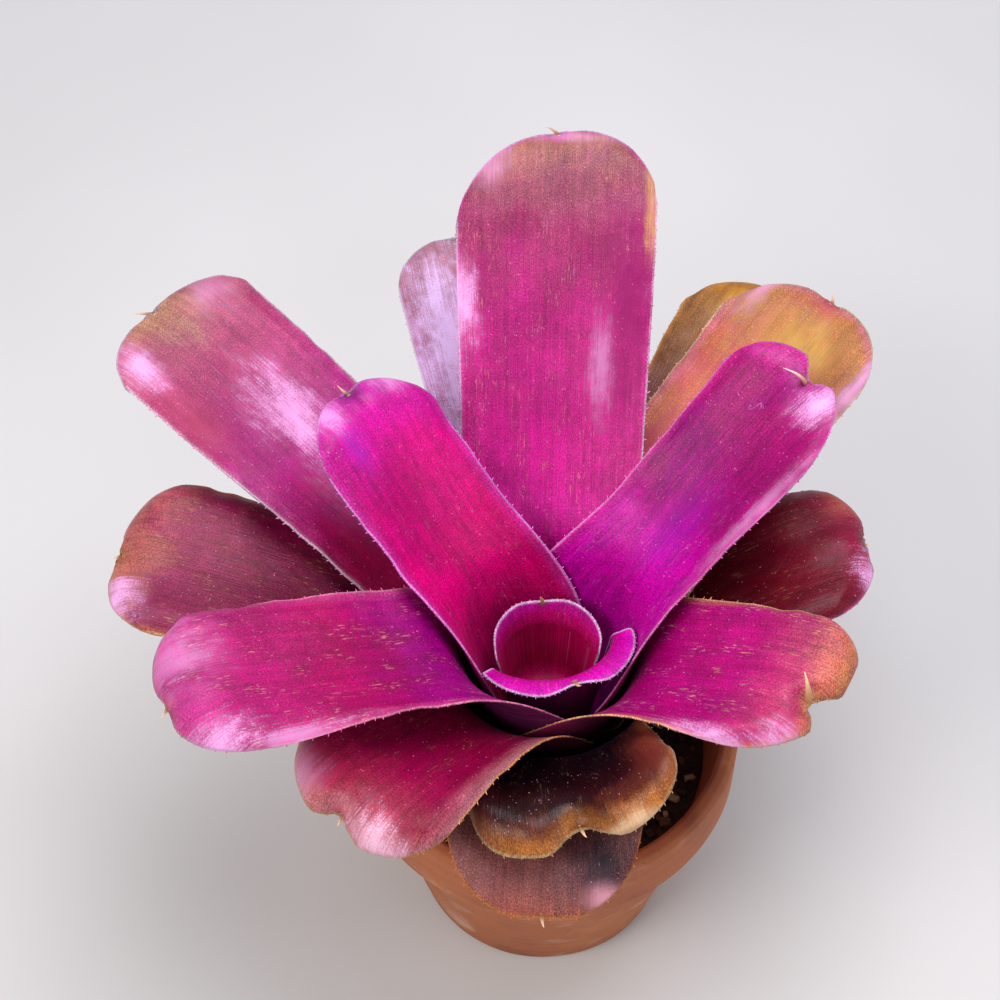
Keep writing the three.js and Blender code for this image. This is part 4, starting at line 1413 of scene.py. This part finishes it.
@dataclass
class PottingMix:
    """Dark bark and peat that fills the pot, in millimetres.

    crumbs and crumb_scale: how far the top's crumbs stand out, and their waves a millimetre
    shore: how far from the hole and the wall the crumbs are full
    tone, tone_drift and tone_scale: how pale the peat is, how far that drifts and in what waves
    chips: how many chips of bark lie on it, with their lengths, widths and heights as shares of
    them, tones, tilt in radians, how far they stay from the hole and the wall, how far they stand
    out and how irregular they are
    """

    pot: Pot
    relief: Relief = Relief()
    hole: float = 4.3
    gap: float = 0.3
    stem_bottom: float = 28.0
    rings: int = 44
    steps: int = 132
    crumbs: float = 0.9
    crumb_scale: float = 0.55
    shore: float = 2.0
    tone: float = 0.3
    tone_drift: float = 0.3
    tone_scale: float = 0.4
    creased: float = 40.0
    chips: int = 300
    chip_lengths: tuple[float, float] = (0.7, 2.6)
    chip_widths: tuple[float, float] = (0.45, 0.9)
    chip_heights: tuple[float, float] = (0.25, 0.5)
    chip_tilt: float = 0.5
    chip_tones: tuple[float, ...] = (0.25, 0.35, 0.45, 0.55, 0.6, 0.7, 0.75, 0.97)
    hole_margin: float = 1.2
    wall_margin: float = 1.8
    proud: float = 0.15
    chip_bevel: float = 0.14
    chip_wear: float = 0.1

    def _material(self) -> bpy.types.Material:
        """Makes crumbly peat and bark, each chip with a tone of its own.

        Returns:
            The material.
        """
        shade = Shade("bark_mix")
        fibre = shade.noise(shade.place(260, 900, 500), 1.0, 4.0)
        crumb = shade.noise(shade.place(1, 1, 1), 700.0, 4.0)
        tone = shade.swing(fibre, 0.5, shade.attribute("tone"))
        bark = shade.ramp(tone, "0:140c08 0.35:2c1a10 0.6:4c3020 0.82:6e4a30 1:a89070")
        bark = shade.over(bark, "120a06", crumb, 0.5, 0.8, 0.0, 0.5)
        shade.bump(shade.sum("MULTIPLY_ADD", crumb, 0.8, fibre), 0.8, 0.0006)
        return shade.dress(bark, shade.span(crumb, 0.3, 0.7, 0.8, 0.97))

    def _chip(self, bm: bmesh.types.BMesh, layer: object, dice: random.Random, outer: float) -> None:
        """Adds one chip of bark, half sunk in the top.

        Args:
            bm: the mesh that is added to.
            layer: the vertex layer of the tones.
            dice: the source of chance.
            outer: how far out the mix reaches.
        """
        size = dice.uniform(*self.chip_lengths)
        r = math.sqrt(dice.uniform((self.hole + self.hole_margin) ** 2, (outer - self.wall_margin) ** 2))
        angle = dice.uniform(0, math.tau)
        x, y = r * math.cos(angle), r * math.sin(angle)
        at = Matrix.Translation((x, y, self.relief.at(x, y, outer, self.hole) + self.proud * size))
        turn = Matrix.Rotation(dice.uniform(0, math.tau), 4, "Z")
        turn = turn @ Matrix.Rotation(dice.uniform(-self.chip_tilt, self.chip_tilt), 4, "X")
        width, height = dice.uniform(*self.chip_widths), dice.uniform(*self.chip_heights)
        shape = Matrix.Diagonal((size, size * width, size * height, 1))
        made = bmesh.ops.create_cube(bm, size=1.0, matrix=at @ turn @ shape)["verts"]
        edges = list(dict.fromkeys(e for v in made for e in v.link_edges))
        rounded = bmesh.ops.bevel(
            bm, geom=edges, offset=self.chip_bevel * size, segments=1, profile=0.5, affect="EDGES",
            material=-1,
        )["verts"]
        tone = dice.choice(self.chip_tones) + dice.uniform(-0.05, 0.05)
        for vert in dict.fromkeys([*rounded, *(v for v in made if v.is_valid)]):
            vert.co += Vector([dice.uniform(-self.chip_wear, self.chip_wear) * size for _ in range(3)])
            vert[layer] = tone

    def build(self) -> bpy.types.Object:
        """Fills the pot up to a crumbly top with chips on it.

        Returns:
            The mix's object.
        """
        outer = self.pot.inner_radius(self.relief.top) - self.gap
        bottom = self.pot.floor + self.gap
        profile = [(0.0, bottom), (self.pot.inner_radius(bottom) - self.gap, bottom)]
        profile += [(mix(outer, self.hole, i / self.rings), self.relief.top) for i in range(self.rings + 1)]
        profile += [(self.hole, self.stem_bottom - self.gap), (0.0, self.stem_bottom - self.gap)]
        bm = turned(profile, self.steps)
        layer = bm.verts.layers.float.new("tone")
        for vert in bm.verts:
            vert[layer] = self.tone
            x, y = vert.co.xy
            if vert.co.z > self.relief.top - self.gap:
                r = math.hypot(x, y)
                inside = smooth((outer - r) / self.shore) * smooth((r - self.hole) / self.shore)
                crumbs = noise.turbulence(Vector((x, y, 0)) * self.crumb_scale, 4, False) - 0.55
                vert.co.z = self.relief.at(x, y, outer, self.hole) + self.crumbs * crumbs * inside
                drift = noise.noise(Vector((x, y, 3)) * self.tone_scale)
                vert[layer] = self.tone + self.tone_drift * drift
        dice = random.Random(SEED)
        for _ in range(self.chips):
            self._chip(bm, layer, dice, outer)
        piece = finished(bm, "mix_crumbs", self._material())
        piece.data.set_sharp_from_angle(angle=math.radians(self.creased))
        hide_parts("potting_mix")
        LOG.info("mix: %d faces, %d chips", len(piece.data.polygons), self.chips)
        return piece


@dataclass
class Stem:
    """The short fibrous stem under the leaves, in millimetres.

    scar_*: how far apart and how deep the leaf scars are, how much they tilt and how narrow they are
    fibre_*: how deep the fibres are, and their waves round the stem and along it
    """

    radius: float = 4.0
    bottom: float = 28.0
    top: float = 64.0
    bevel: float = 1.0
    rings: int = 90
    steps: int = 64
    scar_spacing: float = 2.4
    scar_depth: float = 0.35
    scar_tilt: float = 0.8
    scar_width: float = 0.5
    fibre_depth: float = 0.12
    fibre_around: float = 5.0
    fibre_along: float = 0.15

    def _material(self) -> bpy.types.Material:
        """Makes pale brown fibres with darker leaf scars.

        Returns:
            The material.
        """
        shade = Shade("stem_fibre")
        fibre = shade.noise(shade.place(900, 900, 60), 1.0, 4.0)
        scars = shade.noise(shade.place(40, 40, 420), 1.0, 3.0)
        wood = shade.ramp(fibre, "0.2:3c2814 0.5:6e5230 0.8:9c8458")
        wood = shade.over(wood, "2c1a0e", scars, 0.52, 0.7, 0.0, 0.7)
        shade.bump(shade.sum("ADD", fibre, scars), 0.6, 0.0004)
        return shade.dress(wood, shade.span(fibre, 0.3, 0.7, 0.6, 0.85))

    def build(self) -> bpy.types.Object:
        """Turns the stem and roughens it with scars and fibres.

        Returns:
            The stem's object.
        """
        foot, end = self.bottom + self.bevel, self.top - self.radius / 2
        profile = [(0.0, self.bottom), (self.radius - self.bevel, self.bottom), (self.radius, foot)]
        profile += [(self.radius, mix(foot, end, i / self.rings)) for i in range(1, self.rings + 1)]
        profile += [(self.radius * 0.8, self.top - self.radius / 4), (self.radius * 0.4, self.top)]
        profile.append((0.0, self.top))
        bm = turned(profile, self.steps)
        for vert in bm.verts:
            r = math.hypot(vert.co.x, vert.co.y)
            if r < self.radius * 0.9:
                continue
            x, y, z = vert.co.x / r, vert.co.y / r, vert.co.z
            scar = abs(math.sin(math.pi * (z + self.scar_tilt * y) / self.scar_spacing)) ** self.scar_width
            around = self.fibre_around
            fibres = noise.noise(Vector((x * around, y * around, z * self.fibre_along)))
            vert.co.xy *= 1 - (self.scar_depth * (1 - scar) + self.fibre_depth * (0.5 + fibres)) / r
        piece = finished(bm, "stem_fibres", self._material())
        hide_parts("stem")
        LOG.info("stem: %d faces", len(piece.data.polygons))
        return piece


LEAVES_AT = Vector((0, 0, 0.08))


@dataclass(frozen=True)
class Softbox:
    """A square light that faces the leaves: its place and side in metres, its watts and its colour."""

    name: str
    at: tuple[float, float, float]
    size: float
    power: float
    tint: Colour

    def hang(self) -> None:
        """Adds the light."""
        lamp = bpy.data.lights.new(self.name, "AREA")
        lamp.shape = "SQUARE"
        lamp.size = self.size
        lamp.energy = self.power
        lamp.color = self.tint
        light = bpy.data.objects.new(self.name, lamp)
        light.location = self.at
        light.rotation_euler = (LEAVES_AT - Vector(self.at)).to_track_quat("-Z", "Y").to_euler()
        bpy.context.scene.collection.objects.link(light)


@dataclass
class Studio:
    """A pale floor, soft light and the camera, in metres and degrees."""

    look: tuple[float, float, float] = (-0.0096, 0.0236, 0.101)
    distance: float = 0.4
    elevation: float = 52.0
    lens: float = 72.0
    floor_size: float = 4.0
    sky: tuple[float, float, float, float] = (0.9, 0.92, 1.0, 1.0)
    sky_strength: float = 0.42
    lights: tuple[Softbox, ...] = (
        Softbox("overhead", (0.1, 0.15, 0.75), 0.5, 4.8, (0.93, 0.93, 1.0)),
        Softbox("key", (-0.45, -0.35, 0.6), 0.35, 2.9, (1.0, 0.97, 0.93)),
        Softbox("fill", (0.6, -0.3, 0.35), 0.5, 0.9, (1.0, 0.98, 0.96)),
    )

    def _camera(self) -> None:
        """Sets up the camera."""
        lens = bpy.data.cameras.new("camera")
        lens.lens = self.lens
        lens.sensor_width = 36.0
        lens.clip_start = 0.01
        camera = bpy.data.objects.new("camera", lens)
        angle = math.radians(self.elevation)
        away = Vector((0, -math.cos(angle), math.sin(angle))) * self.distance
        camera.location = Vector(self.look) + away
        camera.rotation_euler = (math.radians(90 - self.elevation), 0, 0)
        bpy.context.scene.collection.objects.link(camera)
        bpy.context.scene.camera = camera

    def _floor(self) -> None:
        """Lays the floor, with a faint unevenness in its tone."""
        bm = bmesh.new()
        bmesh.ops.create_grid(bm, x_segments=8, y_segments=8, size=self.floor_size / 2)
        mesh = bpy.data.meshes.new("floor")
        bm.to_mesh(mesh)
        bm.free()
        shade = Shade("floor_card")
        tone = shade.noise(shade.place(1, 1, 1), 6.0)
        mesh.materials.append(shade.dress(shade.ramp(tone, "0.3:cdcbc9 0.7:d3d1cf"), 0.9))
        floor = bpy.data.objects.new("floor", mesh)
        bpy.context.scene.collection.objects.link(floor)

    def build(self) -> None:
        """Sets up the camera, the lights, the surroundings and the floor."""
        self._camera()
        self._floor()
        for light in self.lights:
            light.hang()
        world = bpy.data.worlds.new("room")
        world.use_nodes = True
        sky = world.node_tree.nodes["Background"]
        sky.inputs["Color"].default_value = self.sky
        sky.inputs["Strength"].default_value = self.sky_strength
        bpy.context.scene.world = world
        bpy.context.scene.view_settings.view_transform = "Standard"
        LOG.info("studio: camera %.0f degrees above the horizon", self.elevation)


def main() -> None:
    """Builds the plant, its pot and the studio, and reports each piece."""
    logging.basicConfig(level=logging.INFO, format="%(message)s")
    pot = Pot()
    pot.build()
    PottingMix(pot).build()
    Stem().build()
    for form in FORMS:
        Leaf(form, FINISHES[form.name]).build()
    Studio().build()


if __name__ == "__main__":
    main()
